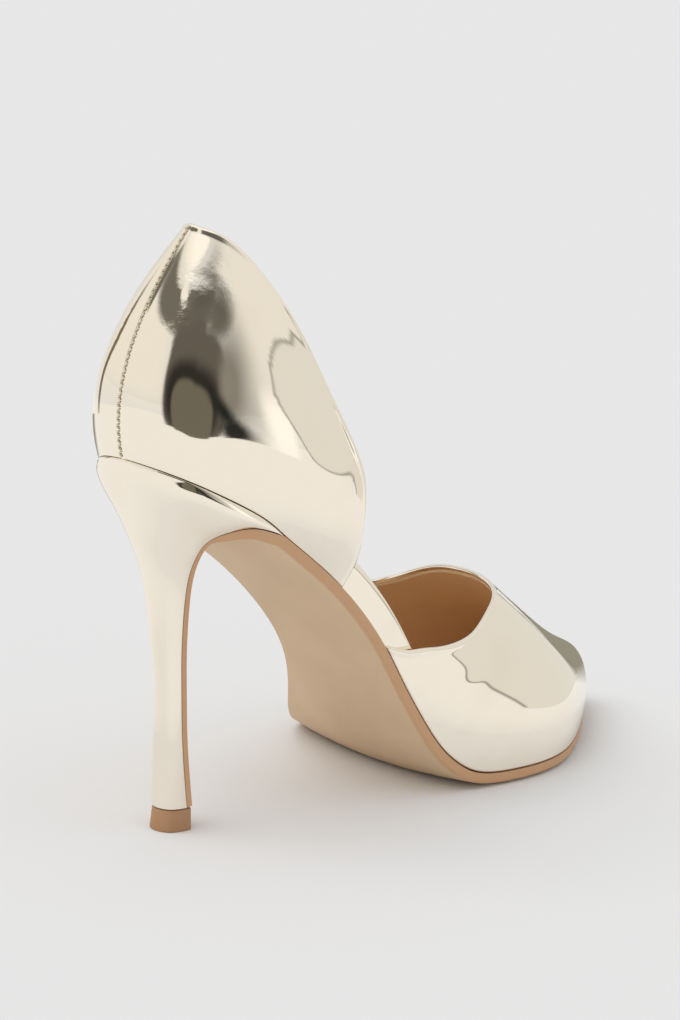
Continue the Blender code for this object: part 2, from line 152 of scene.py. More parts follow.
def make_key():
    """A broad sun, hidden from mirrors."""
    light = bpy.data.lights.new("key", "SUN")
    light.energy = KEY_STRENGTH
    light.angle = KEY_SPREAD
    key = new_object("key", light)
    key.rotation_euler = KEY_TURN
    key.visible_glossy = False


make_floor()
make_world()
make_key()
print("floor half width, m:", FLOOR_HALF)

# %% [markdown]
# A mirror has no look of its own: it shows the room. Photographers light such leather with cards,
# so the room here is a set of soft-edged cards round the shoe. Each is a patch of a ball, placed
# by its compass direction and height as seen from the heel, with one tone. The cards are seen by
# mirror rays alone. They cast no shadow and the camera looks through them.

# %% Faces of a grid, and values on its points
def grid_faces(lines, count, start=0, closed=False):
    """Quads between neighbouring lines of a grid, each of count points."""
    faces = []
    last = count if closed else count - 1
    for n in range(lines - 1):
        here = start + n * count
        there = here + count
        for i in range(last):
            j = (i + 1) % count
            faces.append((here + i, here + j, there + j, there + i))
    return faces


def store(mesh, name, values):
    """Keeps one value for each point of a mesh."""
    layer = mesh.attributes.new(name, "FLOAT", "POINT")
    layer.data.foreach_set("value", np.asarray(values, dtype=float).ravel())


def stored(tree, name):
    """The socket of a node that reads those values."""
    reader = tree.nodes.new("ShaderNodeAttribute")
    reader.attribute_name = name
    return reader.outputs["Fac"]


# %% The cards, one by one
CARD_CENTRE = Vector((0.018, 0.010, 0.105))
CARD_STEPS = 48
HIGHEST_RISE = 89.0

# One row for each card, from the farthest to the nearest. turn, rise: the compass direction from
# the toe's towards the outer side, and the height over the horizon, in degrees. wide, high: half
# sizes in degrees. tilt: degrees. far: distance in metres. soft: share of the card over which its
# edge fades. square: 2 gives an oval, larger a rounded rectangle.
CARD_COLUMNS = ("name", "turn", "rise", "wide", "high", "tilt", "far", "soft", "square", "tone")
CARDS = [
    ("ceiling", 150.0, 79.0, 150.0, 20.0, 0.0, 0.62, 0.10, 8, (1.02, 1.00, 0.95)),
    ("white_wall", 222.0, 31.0, 82.0, 40.0, 0.0, 0.60, 0.45, 8, (0.85, 0.83, 0.77)),
    ("pale_wall", 30.0, 31.0, 62.0, 40.0, 0.0, 0.60, 0.45, 5, (0.82, 0.80, 0.75)),
    ("upper_band", 160.0, 48.5, 92.0, 10.0, 0.0, 0.56, 0.45, 4, (0.16, 0.15, 0.13)),
    ("upper_dark", 104.0, 46.0, 34.0, 9.0, 0.0, 0.55, 0.60, 2.5, (0.10, 0.095, 0.08)),
    ("band_gap", 150.0, 54.0, 15.0, 9.0, 8.0, 0.54, 0.50, 2, (0.90, 0.88, 0.83)),
    ("dusk", 104.0, 16.0, 48.0, 40.0, 0.0, 0.52, 0.75, 3, (0.215, 0.205, 0.18)),
    ("dark_room", 129.0, 14.0, 34.0, 34.0, 0.0, 0.50, 0.16, 4, (0.125, 0.112, 0.095)),
    ("dark_ring", 132.0, 8.0, 33.0, 28.0, 0.0, 0.48, 0.40, 2.6, (0.030, 0.029, 0.025)),
    ("grey_light", 96.0, 20.0, 14.0, 20.0, -12.0, 0.475, 0.80, 2, (0.25, 0.24, 0.21)),
    ("dark_corner", 88.0, -9.0, 22.0, 10.0, 20.0, 0.47, 0.70, 2, (0.026, 0.027, 0.025)),
    ("grey_disc", 131.0, 0.0, 20.5, 22.0, 0.0, 0.45, 0.20, 2.6, (0.155, 0.142, 0.108)),
    ("streak", 100.0, 4.0, 34.0, 8.0, 37.0, 0.445, 0.90, 2, (0.020, 0.022, 0.020)),
    ("strip_light", 62.0, -3.0, 10.0, 22.0, 0.0, 0.44, 0.75, 3, (1.06, 1.04, 0.99)),
    ("panel_rim", 22.0, 0.0, 40.6, 21.4, 26.0, 0.32, 0.02, 2.3, (0.12, 0.11, 0.08)),
    ("grey_panel", 22.0, 0.0, 40.0, 21.0, 26.0, 0.31, 0.03, 2.3, (0.76, 0.745, 0.70)),
    ("back_stripe", 266.0, 6.0, 6.0, 24.0, 6.0, 0.50, 0.50, 3, (0.20, 0.15, 0.09)),
]
print("cards:", len(CARDS))


# %% A glow that only mirrors see
def card_material(name, tone):
    """Emission that fades out where the mesh's own fade values fall to zero."""
    finish = bpy.data.materials.new("finish_" + name)
    finish.use_nodes = True
    tree = finish.node_tree
    tree.nodes.clear()
    glow = tree.nodes.new("ShaderNodeEmission")
    glow.inputs["Color"].default_value = (*tone, 1.0)
    clear = tree.nodes.new("ShaderNodeBsdfTransparent")
    mix = tree.nodes.new("ShaderNodeMixShader")
    out = tree.nodes.new("ShaderNodeOutputMaterial")
    tree.links.new(stored(tree, "fade"), mix.inputs["Fac"])
    tree.links.new(clear.outputs["BSDF"], mix.inputs[1])
    tree.links.new(glow.outputs["Emission"], mix.inputs[2])
    tree.links.new(mix.outputs["Shader"], out.inputs["Surface"])
    return finish


def mirror_only(name, points, faces, fades, tone):
    """A stage piece that only mirror rays meet."""
    mesh = bpy.data.meshes.new(name)
    mesh.from_pydata(points, [], faces)
    store(mesh, "fade", fades)
    mesh.materials.append(card_material(name, tone))
    piece = new_object(name, mesh)
    piece.visible_camera = False
    piece.visible_diffuse = False
    piece.visible_shadow = False
    piece.visible_transmission = False
    piece.visible_volume_scatter = False
    piece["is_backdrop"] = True


# %% Cards for the gold to mirror
def card_fade(card, across, up):
    """How solid the card is at a point of its grid: 1 inside, 0 at its rim."""
    power = card["square"]
    reach = (abs(across) ** power + abs(up) ** power) ** (1.0 / power)
    share = min(max((1.0 - reach) / max(card["soft"], 0.01), 0.0), 1.0)
    return share * share * (3.0 - 2.0 * share)


def make_card(card):
    """One card as a patch of a ball round the heel, seen by mirror rays alone."""
    points, fades = [], []
    slant, level = math.sin(math.radians(card["tilt"])), math.cos(math.radians(card["tilt"]))
    shares = [2.0 * i / CARD_STEPS - 1.0 for i in range(CARD_STEPS + 1)]
    for across in shares:
        for up in shares:
            right = across * card["wide"] * level - up * card["high"] * slant
            high = across * card["wide"] * slant + up * card["high"] * level
            turn = math.radians(card["turn"] + right)
            rise = math.radians(min(card["rise"] + high, HIGHEST_RISE))
            aim = Vector((math.sin(turn) * math.cos(rise), math.cos(turn) * math.cos(rise),
                          math.sin(rise)))
            points.append(CARD_CENTRE + aim * card["far"])
            fades.append(card_fade(card, across, up))
    faces = grid_faces(len(shares), len(shares))
    mirror_only("card_" + card["name"], points, faces, fades, card["tone"])


for values in CARDS:
    make_card(dict(zip(CARD_COLUMNS, values)))
print("points of each card:", (CARD_STEPS + 1) ** 2)

# %% Patches on the floor
# The sweep as the gold sees it: brighter than under the shoe, and greyer behind it. One row for
# each patch: name, middle direction and half width in degrees, near and far edge in metres,
# height over the floor in mm, softness, tone.
SWEEP_PATCHES = [
    ("sweep_glow", 0.0, 180.0, 0.11, 0.80, 0.4, 0.30, (0.885, 0.872, 0.850)),
    ("sweep_behind", 312.0, 36.0, 0.09, 0.60, 0.6, 0.25, (0.30, 0.28, 0.22)),
]
SWEEP_CENTRE = (0.0, 0.060)
SWEEP_TURNS = 64
SWEEP_RINGS = 12
SWEEP_WIDE = 0.8
SWEEP_LONG = 1.25


def make_sweep_patch(name, turn, wide, near, far, lift, soft, tone):
    """A patch on the floor, seen by mirror rays alone."""
    points, fades = [], []
    for i in range(SWEEP_TURNS + 1):
        across = 2.0 * i / SWEEP_TURNS - 1.0
        aim = math.radians(turn + wide * across)
        for j in range(SWEEP_RINGS + 1):
            share = j / SWEEP_RINGS
            reach = near + (far - near) * share**2
            points.append((SWEEP_CENTRE[0] + reach * math.sin(aim) * SWEEP_WIDE,
                           SWEEP_CENTRE[1] + reach * math.cos(aim) * SWEEP_LONG, lift * MM))
            edge = 1.0 if wide >= 180.0 else (1.0 - abs(across)) / soft
            fades.append(max(min(share / soft, edge, 1.0), 0.0))
    faces = grid_faces(SWEEP_TURNS + 1, SWEEP_RINGS + 1)
    mirror_only(name, points, faces, fades, tone)


for values in SWEEP_PATCHES:
    make_sweep_patch(*values)
print("patches on the floor:", len(SWEEP_PATCHES))

# %% [markdown]
# The shoe's sizes come next. They are the same sizes as in the part's source, and the tables hold
# shares of them, one row for each section across the last. The last is the foot-shaped block that
# a shoe is made on, and its lower edge, where upper and sole meet, is called the feather line.

# %% Sizes of the last and its pieces, in metres
SHOE_LENGTH = 0.2231
HEEL_SETBACK = 0.0271
SEAT_HEIGHT = 0.0998
BALL_WIDTH = 0.0800
TOE_SPRING = 0.0050
INSTEP_HEIGHT = 0.0750
SOLE_THICKNESS = 0.0030
SOLE_CAMBER = 0.0025
FLAP_THICKNESS = 0.0021
STEM_WIDTH = 0.0090
TOP_PIECE_HEIGHT = 0.0058
INSOLE_THICKNESS = 0.0030
UPPER_WALL = 0.0014
COUNTER_HEIGHT = 0.0580
COUNTER_LEAN = 0.0190
COUNTER_FLARE = 0.0065
COUNTER_BULGE = 0.0100
COUNTER_BOW = 0.0030
VAMP_BULGE = 0.0030
VAMP_FULLNESS = 2.35
BAND_HEIGHT = 0.0088
BAND_THICKNESS = 0.0019
CLEARANCE = 0.0003
OUTER = 1.0
INNER = -1.0

# %% The feather line
# along: share of SHOE_LENGTH. rise: share of the seat's height over the sole. spring: share of
# TOE_SPRING. inner, outer: half widths, shares of BALL_WIDTH. skew: how far the inner end lies
# forward, for each metre of width. camber: the sole's swell, share of SOLE_CAMBER.
FEATHER_COLUMNS = ("along", "rise", "spring", "inner", "outer", "skew", "camber")
FEATHER = [
    (0.000, 1.000, 0.00, 0.000, 0.000, 0.00, 0.0),
    (0.007, 0.992, 0.00, 0.095, 0.095, 0.00, 0.0),
    (0.023, 0.975, 0.00, 0.165, 0.168, 0.00, 0.0),
    (0.054, 0.942, 0.00, 0.228, 0.234, 0.00, 0.0),
    (0.121, 0.868, 0.00, 0.274, 0.281, 0.00, 0.0),
    (0.166, 0.802, 0.00, 0.279, 0.285, 0.00, 0.0),
    (0.220, 0.724, 0.00, 0.269, 0.276, 0.00, 0.2),
    (0.274, 0.642, 0.00, 0.258, 0.265, 0.00, 0.3),
    (0.328, 0.545, 0.00, 0.255, 0.256, 0.01, 0.4),
    (0.377, 0.433, 0.00, 0.254, 0.255, 0.03, 0.5),
    (0.417, 0.318, 0.00, 0.285, 0.264, 0.07, 0.6),
    (0.458, 0.198, 0.00, 0.367, 0.280, 0.09, 0.9),
    (0.498, 0.098, 0.00, 0.470, 0.298, 0.10, 1.1),
    (0.543, 0.030, 0.00, 0.564, 0.318, 0.09, 1.1),
    (0.592, 0.002, 0.12, 0.620, 0.337, 0.07, 0.6),
    (0.659, 0.000, 0.12, 0.640, 0.346, 0.04, 0.4),
    (0.731, 0.000, 0.14, 0.615, 0.304, 0.00, 0.4),
    (0.803, 0.000, 0.24, 0.543, 0.208, 0.00, 0.4),
    (0.866, 0.000, 0.42, 0.458, 0.100, 0.00, 0.4),
    (0.919, 0.000, 0.64, 0.380, -0.008, 0.00, 0.4),
    (0.960, 0.000, 0.83, 0.319, -0.100, 0.00, 0.3),
    (0.987, 0.000, 0.94, 0.273, -0.167, 0.00, 0.2),
    (0.997, 0.000, 0.99, 0.246, -0.204, 0.00, 0.1),
    (1.000, 0.000, 1.00, 0.225, -0.225, 0.00, 0.0),
]
BREAST_ROW = 5
CORNER_ROW = 4.9
WIDEST_ROW = 15
TOE_ROW = len(FEATHER) - 1
print("sections across the last:", len(FEATHER))

# %% The counter
# foot: row of the feather where the section stands. height, lean: how far its top lies above and
# in front of its foot. outer, inner: how far the top lies outside its foot. low, high: bulge of
# the wall's lower and upper third. bow: bulge forward. All are shares of the sizes above.
COUNTER_COLUMNS = ("foot", "height", "lean", "outer", "inner", "low", "high", "bow")
COUNTER = [
    (0.00, 1.000, 1.00, 0.00, 0.00, 1.37, 0.95, 0.0),
    (1.00, 1.000, 1.02, -0.60, -0.54, 1.40, 0.98, 0.0),
    (2.00, 0.985, 1.07, -0.92, -0.80, 1.32, 0.98, 0.0),
    (3.00, 0.918, 1.05, -1.00, -0.52, 1.17, 0.94, 0.0),
    (4.00, 0.830, 0.70, -0.75, -0.05, 0.98, 0.88, 0.0),
    (5.00, 0.695, 0.54, -0.06, 0.82, 0.82, 0.66, 0.0),
    (6.00, 0.540, 0.30, 0.92, 1.38, 0.50, 0.34, 0.2),
    (6.60, 0.435, 0.22, 1.00, 1.34, 0.26, 0.18, 0.5),
    (7.17, 0.340, 0.03, 0.78, 1.06, 0.05, 0.05, 1.0),
]

# %% The vamp and its topline
# crown: height of the arch at rows of the feather, share of INSTEP_HEIGHT. inner, outer: bulge
# of either side over the sole, shares of VAMP_BULGE.
VAMP_START_ROW = 8
VAMP_COLUMNS = ("crown", "inner", "outer")
VAMP = [
    (0.930, 1.00, 0.20),
    (0.970, 1.00, 0.20),
    (1.000, 1.00, 0.20),
    (0.995, 1.00, 0.20),
    (0.960, 0.95, 0.20),
    (0.890, 0.60, 0.25),
    (0.805, 0.35, 0.30),
    (0.675, 0.35, 0.35),
    (0.535, 0.40, 0.40),
    (0.410, 0.40, 0.40),
    (0.310, 0.35, 0.35),
    (0.232, 0.30, 0.30),
    (0.172, 0.25, 0.25),
    (0.116, 0.15, 0.15),
    (0.062, 0.08, 0.08),
    (0.000, 0.00, 0.00),
]

# around: share of the way over the arch, from the outer wing to the inner one. row: row of the
# feather where the topline crosses it.
TOPLINE_COLUMNS = ("around", "row")
TOPLINE = [
    (0.000, 9.05),
    (0.027, 10.02),
    (0.066, 10.92),
    (0.138, 12.42),
    (0.250, 14.00),
    (0.370, 14.86),
    (0.500, 15.20),
    (0.615, 15.38),
    (0.720, 15.18),
    (0.812, 14.05),
    (0.892, 11.95),
    (0.969, 10.20),
    (1.000, 9.10),
]
BAND_START_ROW = 6.4
BAND_END_ROW = 10.1

# %% The heel
# front, back: distance behind the top piece's centre, shares of HEEL_SETBACK. front_up, back_up:
# shares of the way from the top piece up to the seat. stem: half width, share of half the
# STEM_WIDTH. spread: share of the way from the stem's half width to the seat's.
HEEL_COLUMNS = ("front", "front_up", "stem", "spread", "back", "back_up")
HEEL = [
    (-0.018, 0.000, 1.00, 0.000, 0.213, 0.000),
    (0.018, 0.063, 0.94, 0.000, 0.248, 0.063),
    (0.085, 0.187, 0.86, 0.000, 0.278, 0.187),
    (0.133, 0.319, 0.81, 0.000, 0.314, 0.319),
    (0.188, 0.450, 0.87, 0.000, 0.391, 0.456),
    (0.244, 0.575, 0.90, 0.056, 0.487, 0.591),
    (0.292, 0.666, 0.90, 0.158, 0.576, 0.698),
    (0.325, 0.735, 0.90, 0.318, 0.700, 0.787),
    (0.321, 0.782, 0.90, 0.494, 0.795, 0.853),
    (0.236, 0.814, 0.90, 0.724, 0.878, 0.908),
    (0.044, 0.829, 0.90, 0.921, 0.944, 0.954),
    (-0.166, 0.817, 0.90, 0.990, 0.970, 0.983),
]
HEEL_TOP = len(HEEL) - 1

# %% [markdown]
# A mirror shows not only bumps but also sudden changes of curvature. So the tables are read with
# a spline whose curvature runs on through every row, the curve of a thin wooden batten held at
# those points. Where a table starts on the shoe's middle line, it is mirrored first, and the
# columns that change sides change sign, so that the back of the heel comes out round.

# %% Reading a table with a smooth batten
def batten(columns, table, mirrored=None):
    """Makes a function that gives the table's columns, by name, at any places between rows."""
    rows = np.array(table, dtype=float)
    start = 0
    if mirrored is not None:
        sign = np.array([-1.0 if name in mirrored else 1.0 for name in columns])
        start = len(rows) - 1
        rows = np.vstack([rows[:0:-1] * sign, rows])
    count = len(rows)
    matrix = np.eye(count)
    right = np.zeros_like(rows)
    for i in range(1, count - 1):
        matrix[i, i - 1:i + 2] = (1.0, 4.0, 1.0)
        right[i] = 6.0 * (rows[i - 1] - 2.0 * rows[i] + rows[i + 1])
    bend = np.linalg.solve(matrix, right)

    def read(place):
        spot = np.clip(np.asarray(place, dtype=float), 0.0, count - 1 - start) + start
        first = np.minimum(spot.astype(int), count - 2)
        t = (spot - first)[..., None]
        s = 1.0 - t
        values = (s * rows[first] + t * rows[first + 1]
                  + (s**3 - s) / 6.0 * bend[first] + (t**3 - t) / 6.0 * bend[first + 1])
        return {name: values[..., i] for i, name in enumerate(columns)}

    return read


read_feather = batten(FEATHER_COLUMNS, FEATHER, mirrored=("inner", "outer"))
read_counter = batten(COUNTER_COLUMNS, COUNTER, mirrored=("foot", "outer", "inner"))
read_vamp = batten(VAMP_COLUMNS, VAMP)
read_topline = batten(TOPLINE_COLUMNS, TOPLINE)
widest = read_feather(WIDEST_ROW)
print("half widths at the ball, as shares:", widest["inner"], widest["outer"])


# %% Points and directions along the feather line
def stack(x, y, z):
    """Points from arrays of their coordinates."""
    return np.stack(np.broadcast_arrays(x, y, z), axis=-1)


def unit(vectors):
    """The same directions with length one."""
    return vectors / np.maximum(np.linalg.norm(vectors, axis=-1, keepdims=True), 1e-12)


def section_middle(place):
    """The point of a section on the middle plane, on top of the sole."""
    row = read_feather(place)
    rise = np.maximum(row["rise"], 0.0) * (SEAT_HEIGHT - SOLE_THICKNESS)
    lift = np.maximum(row["spring"], 0.0) * TOE_SPRING
    return stack(0.0, SHOE_LENGTH * row["along"] - HEEL_SETBACK, SOLE_THICKNESS + rise + lift)


def feather(place, side):
    """Points of the feather line. side is OUTER or INNER, one for all or one for each point."""
    row = read_feather(place)
    x = BALL_WIDTH * np.where(np.asarray(side) > 0, row["outer"], -row["inner"])
    return section_middle(place) + stack(x, -row["skew"] * x, 0.0)


ROW_STEP = 0.02
MIRRORED = np.array([-1.0, 1.0, 1.0])


def run_at(line, place, last):
    """Which way a line runs at a place of its table, from two points close by."""
    ahead = line(np.minimum(place + ROW_STEP, last))
    behind = line(np.maximum(place - ROW_STEP, 0.0))
    return ahead - behind


def sole_up(place):
    """The direction at right angles to the sole's top, in the plane of the shoe's length."""
    run = run_at(section_middle, np.asarray(place, dtype=float), TOE_ROW)
    return unit(stack(0.0, -run[..., 2], run[..., 1]))


def outward(place, side):
    """The level direction that points away from the last, at right angles to the feather."""
    place = np.asarray(place, dtype=float)
    run = run_at(lambda spot: feather(spot, side), place, TOE_ROW)
    away = np.asarray(side)[..., None] * stack(run[..., 1], -run[..., 0], 0.0)
    back = stack(0.0, -1.0, 0.0)
    return unit(np.where((place < 1e-6)[..., None], back, away))


print("seat at the back, mm:", np.round(1000 * section_middle(0.0), 1))

# %% [markdown]
# Every leather wall is made the same way. A grid of points gives its outer face, with the points
# closer together at the edges. The wall then gets its thickness along the surface's own normals,
# and both faces bend towards each other at the edges, so that the edge is round like leather that
# has been folded over. Blender's Solidify modifier would leave a square rim, and a bevel on it
# would break the smooth mirror, so the grid is bent in numbers before the mesh is made.

# %% Spacing and distances
def eased(count, ends=0.5):
    """Numbers from 0 to 1 that lie closer together towards both ends."""
    even = np.linspace(0.0, 1.0, count)
    return (1.0 - ends) * even + ends * (1.0 - np.cos(np.pi * even)) / 2.0


def plateau(distance, half, soft):
    """One within a half width, none beyond it, with a soft step between."""
    return 1.0 / (1.0 + np.exp((distance - half) / soft))


def finder(points):
    """A tree that finds which of some points are the nearest."""
    tree = KDTree(len(points))
    for i, point in enumerate(points.tolist()):
        tree.insert(point, i)
    tree.balance()
    return tree


def distances(line):
    """How far each point of a line lies along it."""
    steps = np.linalg.norm(np.diff(line, axis=0), axis=-1)
    return np.concatenate([[0.0], np.cumsum(steps)])


def points_at(stations, places, line):
    """Points between those of a line, which lie at the given places."""
    return np.stack([np.interp(stations, places, line[:, k]) for k in range(3)], axis=-1)


print("five eased places:", np.round(eased(5), 3))

# %% Normals and round edges
PINCHED = 0.35
NEIGHBOURS = 12
RIM_PARTS = 12
CUT_EDGE = 0.30 * MM
INSIDE_HEEL = np.array([0.0, 0.012, 0.118])
INSIDE_TOE = np.array([-0.010, 0.125, 0.012])


def grid_normals(grid, inside):
    """Unit normals of a grid of points, away from a point inside the shoe.

    Where the two directions of the grid run nearly together, their cross product means nothing,
    so such a point takes the mean normal of the nearest sound points.
    """
    along, up = np.gradient(grid, axis=0), np.gradient(grid, axis=1)
    normals = np.cross(along, up)
    sine = (np.linalg.norm(normals, axis=-1)
            / (np.linalg.norm(along, axis=-1) * np.linalg.norm(up, axis=-1) + 1e-12))
    normals = unit(normals)
    sound = sine > PINCHED
    sound_normals = normals[sound]
    tree = finder(grid[sound])
    for i, j in np.argwhere(~sound):
        near = [found[1] for found in tree.find_n(grid[i, j].tolist(), NEIGHBOURS)]
        normals[i, j] = sound_normals[near].mean(axis=0)
    normals = unit(normals)
    away = np.sum((grid - inside) * normals)
    return normals if away > 0 else -normals


def edge_distance(grid, edges):
    """How far each point of a grid lies from the nearest of the named edges."""
    rims = {"first_line": grid[0], "last_line": grid[-1], "low": grid[:, 0], "high": grid[:, -1]}
    near = []
    for name in edges:
        last = len(rims[name]) - 1
        stations = np.linspace(0.0, last, last * RIM_PARTS + 1)
        near.append(points_at(stations, np.arange(last + 1), rims[name]))
    tree = finder(np.concatenate(near))
    flat = [tree.find(point)[2] for point in grid.reshape(-1, 3).tolist()]
    return np.array(flat).reshape(grid.shape[:2])


def edge_curl(grid, edges, radius):
    """How far a face bends inwards near the named edges, for an edge of that radius."""
    near = np.clip(edge_distance(grid, edges), 0.0, radius)
    return radius - np.sqrt(np.maximum(radius**2 - (radius - near) ** 2, 0.0))


# %% Pieces from points and faces
SAME_PLACE = 0.0002 * MM


def wall_faces(lines, count):
    """Faces of a closed wall: its outer grid, its inner grid, and the rim between them."""
    inner = lines * count
    faces = grid_faces(lines, count)
    faces += [tuple(reversed(face)) for face in grid_faces(lines, count, start=inner)]
    rim = list(range(count))
    rim += [n * count + count - 1 for n in range(1, lines)]
    rim += [(lines - 1) * count + i for i in range(count - 2, -1, -1)]
    rim += [n * count for n in range(lines - 2, 0, -1)]
    for here, there in zip(rim, rim[1:] + rim[:1]):
        faces.append((here, there, inner + there, inner + here))
    return faces


def new_piece(name, points, faces, finish, sharp=None, layers=None):
    """An object that rides on the shoe, with its finish.

    sharp: the angle in degrees past which an edge isn't shaded smooth. layers: values that the
    finish reads, by name, one for each point.
    """
    mesh = bpy.data.meshes.new(name)
    mesh.from_pydata(np.asarray(points).reshape(-1, 3).tolist(), [], faces)
    for layer_name, values in (layers or {}).items():
        store(mesh, layer_name, values)
    work = bmesh.new()
    work.from_mesh(mesh)
    bmesh.ops.remove_doubles(work, verts=work.verts, dist=SAME_PLACE)
    bmesh.ops.recalc_face_normals(work, faces=work.faces)
    work.to_mesh(mesh)
    work.free()
    mesh.shade_smooth()
    if sharp is not None:
        mesh.set_sharp_from_angle(angle=math.radians(sharp))
    mesh.materials.append(finish)
    piece = new_object(name, mesh)
    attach(piece, "root")
    print(f"{name}: {len(mesh.polygons)} faces")
    return piece


def loft(name, rings, finish, sharp, layers=None):
    """A closed piece through rings of points, with one face over each end."""
    rings = np.array(rings)
    lines, count = rings.shape[:2]
    faces = grid_faces(lines, count, closed=True)
    faces.append(tuple(range(count))[::-1])
    faces.append(tuple(range((lines - 1) * count, lines * count)))
    return new_piece(name, rings, faces, finish, sharp, layers)


print("faces of the smallest wall:", len(wall_faces(2, 2)))

# %% [markdown]
# The gold is leather with a metal foil on it, so it is a metal to Blender, with its tint in the
# base colour. The foil is not a perfect mirror. It lies on leather, so slow waves bend what it
# shows, a fine orange-peel softens the sharpest edges, and in a few marked spots it is crumpled.
# All three are bump from noise nodes, so weak that they show only in the reflections.

# %% Nodes that the finishes share
def new_finish(name, roughness, metallic=0.0):
    """A material, its node tree and its Principled shader."""
    finish = bpy.data.materials.new(name)
    finish.use_nodes = True
    shader = finish.node_tree.nodes["Principled BSDF"]
    shader.inputs["Roughness"].default_value = roughness
    shader.inputs["Metallic"].default_value = metallic
    return finish, finish.node_tree, shader


def from_place(tree, kind, per_metre):
    """A pattern in the object's own metres, repeated so many times in each."""
    place = tree.nodes.new("ShaderNodeTexCoord")
    pattern = tree.nodes.new(kind)
    pattern.inputs["Scale"].default_value = per_metre
    tree.links.new(place.outputs["Object"], pattern.inputs["Vector"])
    return pattern


def noise_of(tree, per_metre, detail):
    """A noise with so many waves in a metre."""
    noise = from_place(tree, "ShaderNodeTexNoise", per_metre)
    noise.inputs["Detail"].default_value = detail
    return noise


def add_bump(tree, source, height_mm, shader, before=None):
    """Bump of a real height, on top of an earlier bump."""
    bump = tree.nodes.new("ShaderNodeBump")
    bump.inputs["Strength"].default_value = 1.0
    bump.inputs["Distance"].default_value = height_mm * MM
    tree.links.new(source.outputs[0], bump.inputs["Height"])
    if before is not None:
        tree.links.new(before.outputs["Normal"], bump.inputs["Normal"])
    tree.links.new(bump.outputs["Normal"], shader.inputs["Normal"])
    return bump


def tint_by(tree, source, low, high, shader, start=0.35, end=0.65):
    """Colours a surface between two tones by a source of values."""
    ramp = tree.nodes.new("ShaderNodeValToRGB")
    ramp.color_ramp.elements[0].position = start
    ramp.color_ramp.elements[0].color = (*low, 1.0)
    ramp.color_ramp.elements[1].position = end
    ramp.color_ramp.elements[1].color = (*high, 1.0)
    tree.links.new(source.outputs[0], ramp.inputs["Fac"])
    tree.links.new(ramp.outputs["Color"], shader.inputs["Base Color"])
    return ramp


# %% Gold foil
GOLD_ROUGHNESS = 0.045
WAVES_PER_METRE = 55.0
PEEL_PER_METRE = 900.0
PEEL_MM = 0.0004
RIPPLES_PER_METRE = 330.0
CRUMPLE_MM = 0.085
GOLD_TINT = (0.975, 0.905, 0.790)
GOLD_SHADE = (0.935, 0.860, 0.730)


def gold_foil(name, wave_mm):
    """Mirror foil on leather, with slow waves, a fine peel and ripples where it is crumpled."""
    finish, tree, shader = new_finish(name, GOLD_ROUGHNESS, metallic=1.0)
    slow = noise_of(tree, WAVES_PER_METRE, detail=1.0)
    fine = noise_of(tree, PEEL_PER_METRE, detail=2.0)
    ripples = noise_of(tree, RIPPLES_PER_METRE, detail=3.0)
    share = tree.nodes.new("ShaderNodeMath")
    share.operation = "MULTIPLY"
    tree.links.new(stored(tree, "crumple"), share.inputs[0])
    tree.links.new(ripples.outputs["Fac"], share.inputs[1])
    waves = add_bump(tree, slow, wave_mm, shader)
    peel = add_bump(tree, fine, PEEL_MM, shader, before=waves)
    add_bump(tree, share, CRUMPLE_MM, shader, before=peel)
    tint_by(tree, slow, GOLD_SHADE, GOLD_TINT, shader, start=0.15, end=0.45)
    return finish


upper_gold = gold_foil("upper_gold_foil", 0.018)
heel_gold = gold_foil("heel_gold_foil", 0.015)
print("nodes of the foil:", len(upper_gold.node_tree.nodes))

# %% Tan leathers
TOP_PIECE_TONE = (0.430, 0.235, 0.120)
CLOUDS_PER_METRE = 38.0
PORES_PER_METRE = 1500.0
FIBRES_PER_METRE = 420.0


def tan_leather(name, low, high, roughness, grain_mm, edge_tone=None):
    """Smooth tan leather with pores, cloudy dye and, where asked, a darker dyed edge."""
    finish, tree, shader = new_finish(name, roughness)
    shader.inputs["Specular IOR Level"].default_value = 0.35
    cloud = noise_of(tree, CLOUDS_PER_METRE, detail=5.0)
    ramp = tint_by(tree, cloud, low, high, shader)
    if edge_tone is not None:
        mix = tree.nodes.new("ShaderNodeMixRGB")
        mix.inputs["Color2"].default_value = (*edge_tone, 1.0)
        tree.links.new(stored(tree, "edge"), mix.inputs["Fac"])
        tree.links.new(ramp.outputs["Color"], mix.inputs["Color1"])
        tree.links.new(mix.outputs["Color"], shader.inputs["Base Color"])
    pores = from_place(tree, "ShaderNodeTexVoronoi", PORES_PER_METRE)
    fibre = noise_of(tree, FIBRES_PER_METRE, detail=4.0)
    grain = add_bump(tree, pores, grain_mm, shader)
    add_bump(tree, fibre, grain_mm * 1.5, shader, before=grain)
    return finish


sole_tan = tan_leather("sole_tan_leather", (0.680, 0.500, 0.322), (0.745, 0.553, 0.365), 0.62,
                       0.012, edge_tone=(0.610, 0.355, 0.190))
lining_tan = tan_leather("lining_tan_leather", (0.740, 0.515, 0.300), (0.800, 0.565, 0.340),
                         0.50, 0.015)
top_piece_tan = tan_leather("top_piece_tan_rubber", TOP_PIECE_TONE, TOP_PIECE_TONE, 0.55, 0.010)
print("finishes:", len(bpy.data.materials))

# %% [markdown]
# The counter is the closed heel of the upper. On the real shoe two leather quarters meet in a
# seam up the back, folded over a stiffener and pulled over the last, which leaves shallow dents
# near the seam and along the top. Sculpting them by hand in the viewport would work too, but
# troughs placed by row and height stay put when the sizes change.

# %% Dents
def soft_spot(across, up, place, height, wide, high):
    """A soft round bump of height one at a place of a surface."""
    return np.exp(-((across - place) / wide) ** 2 - ((up - height) / high) ** 2)


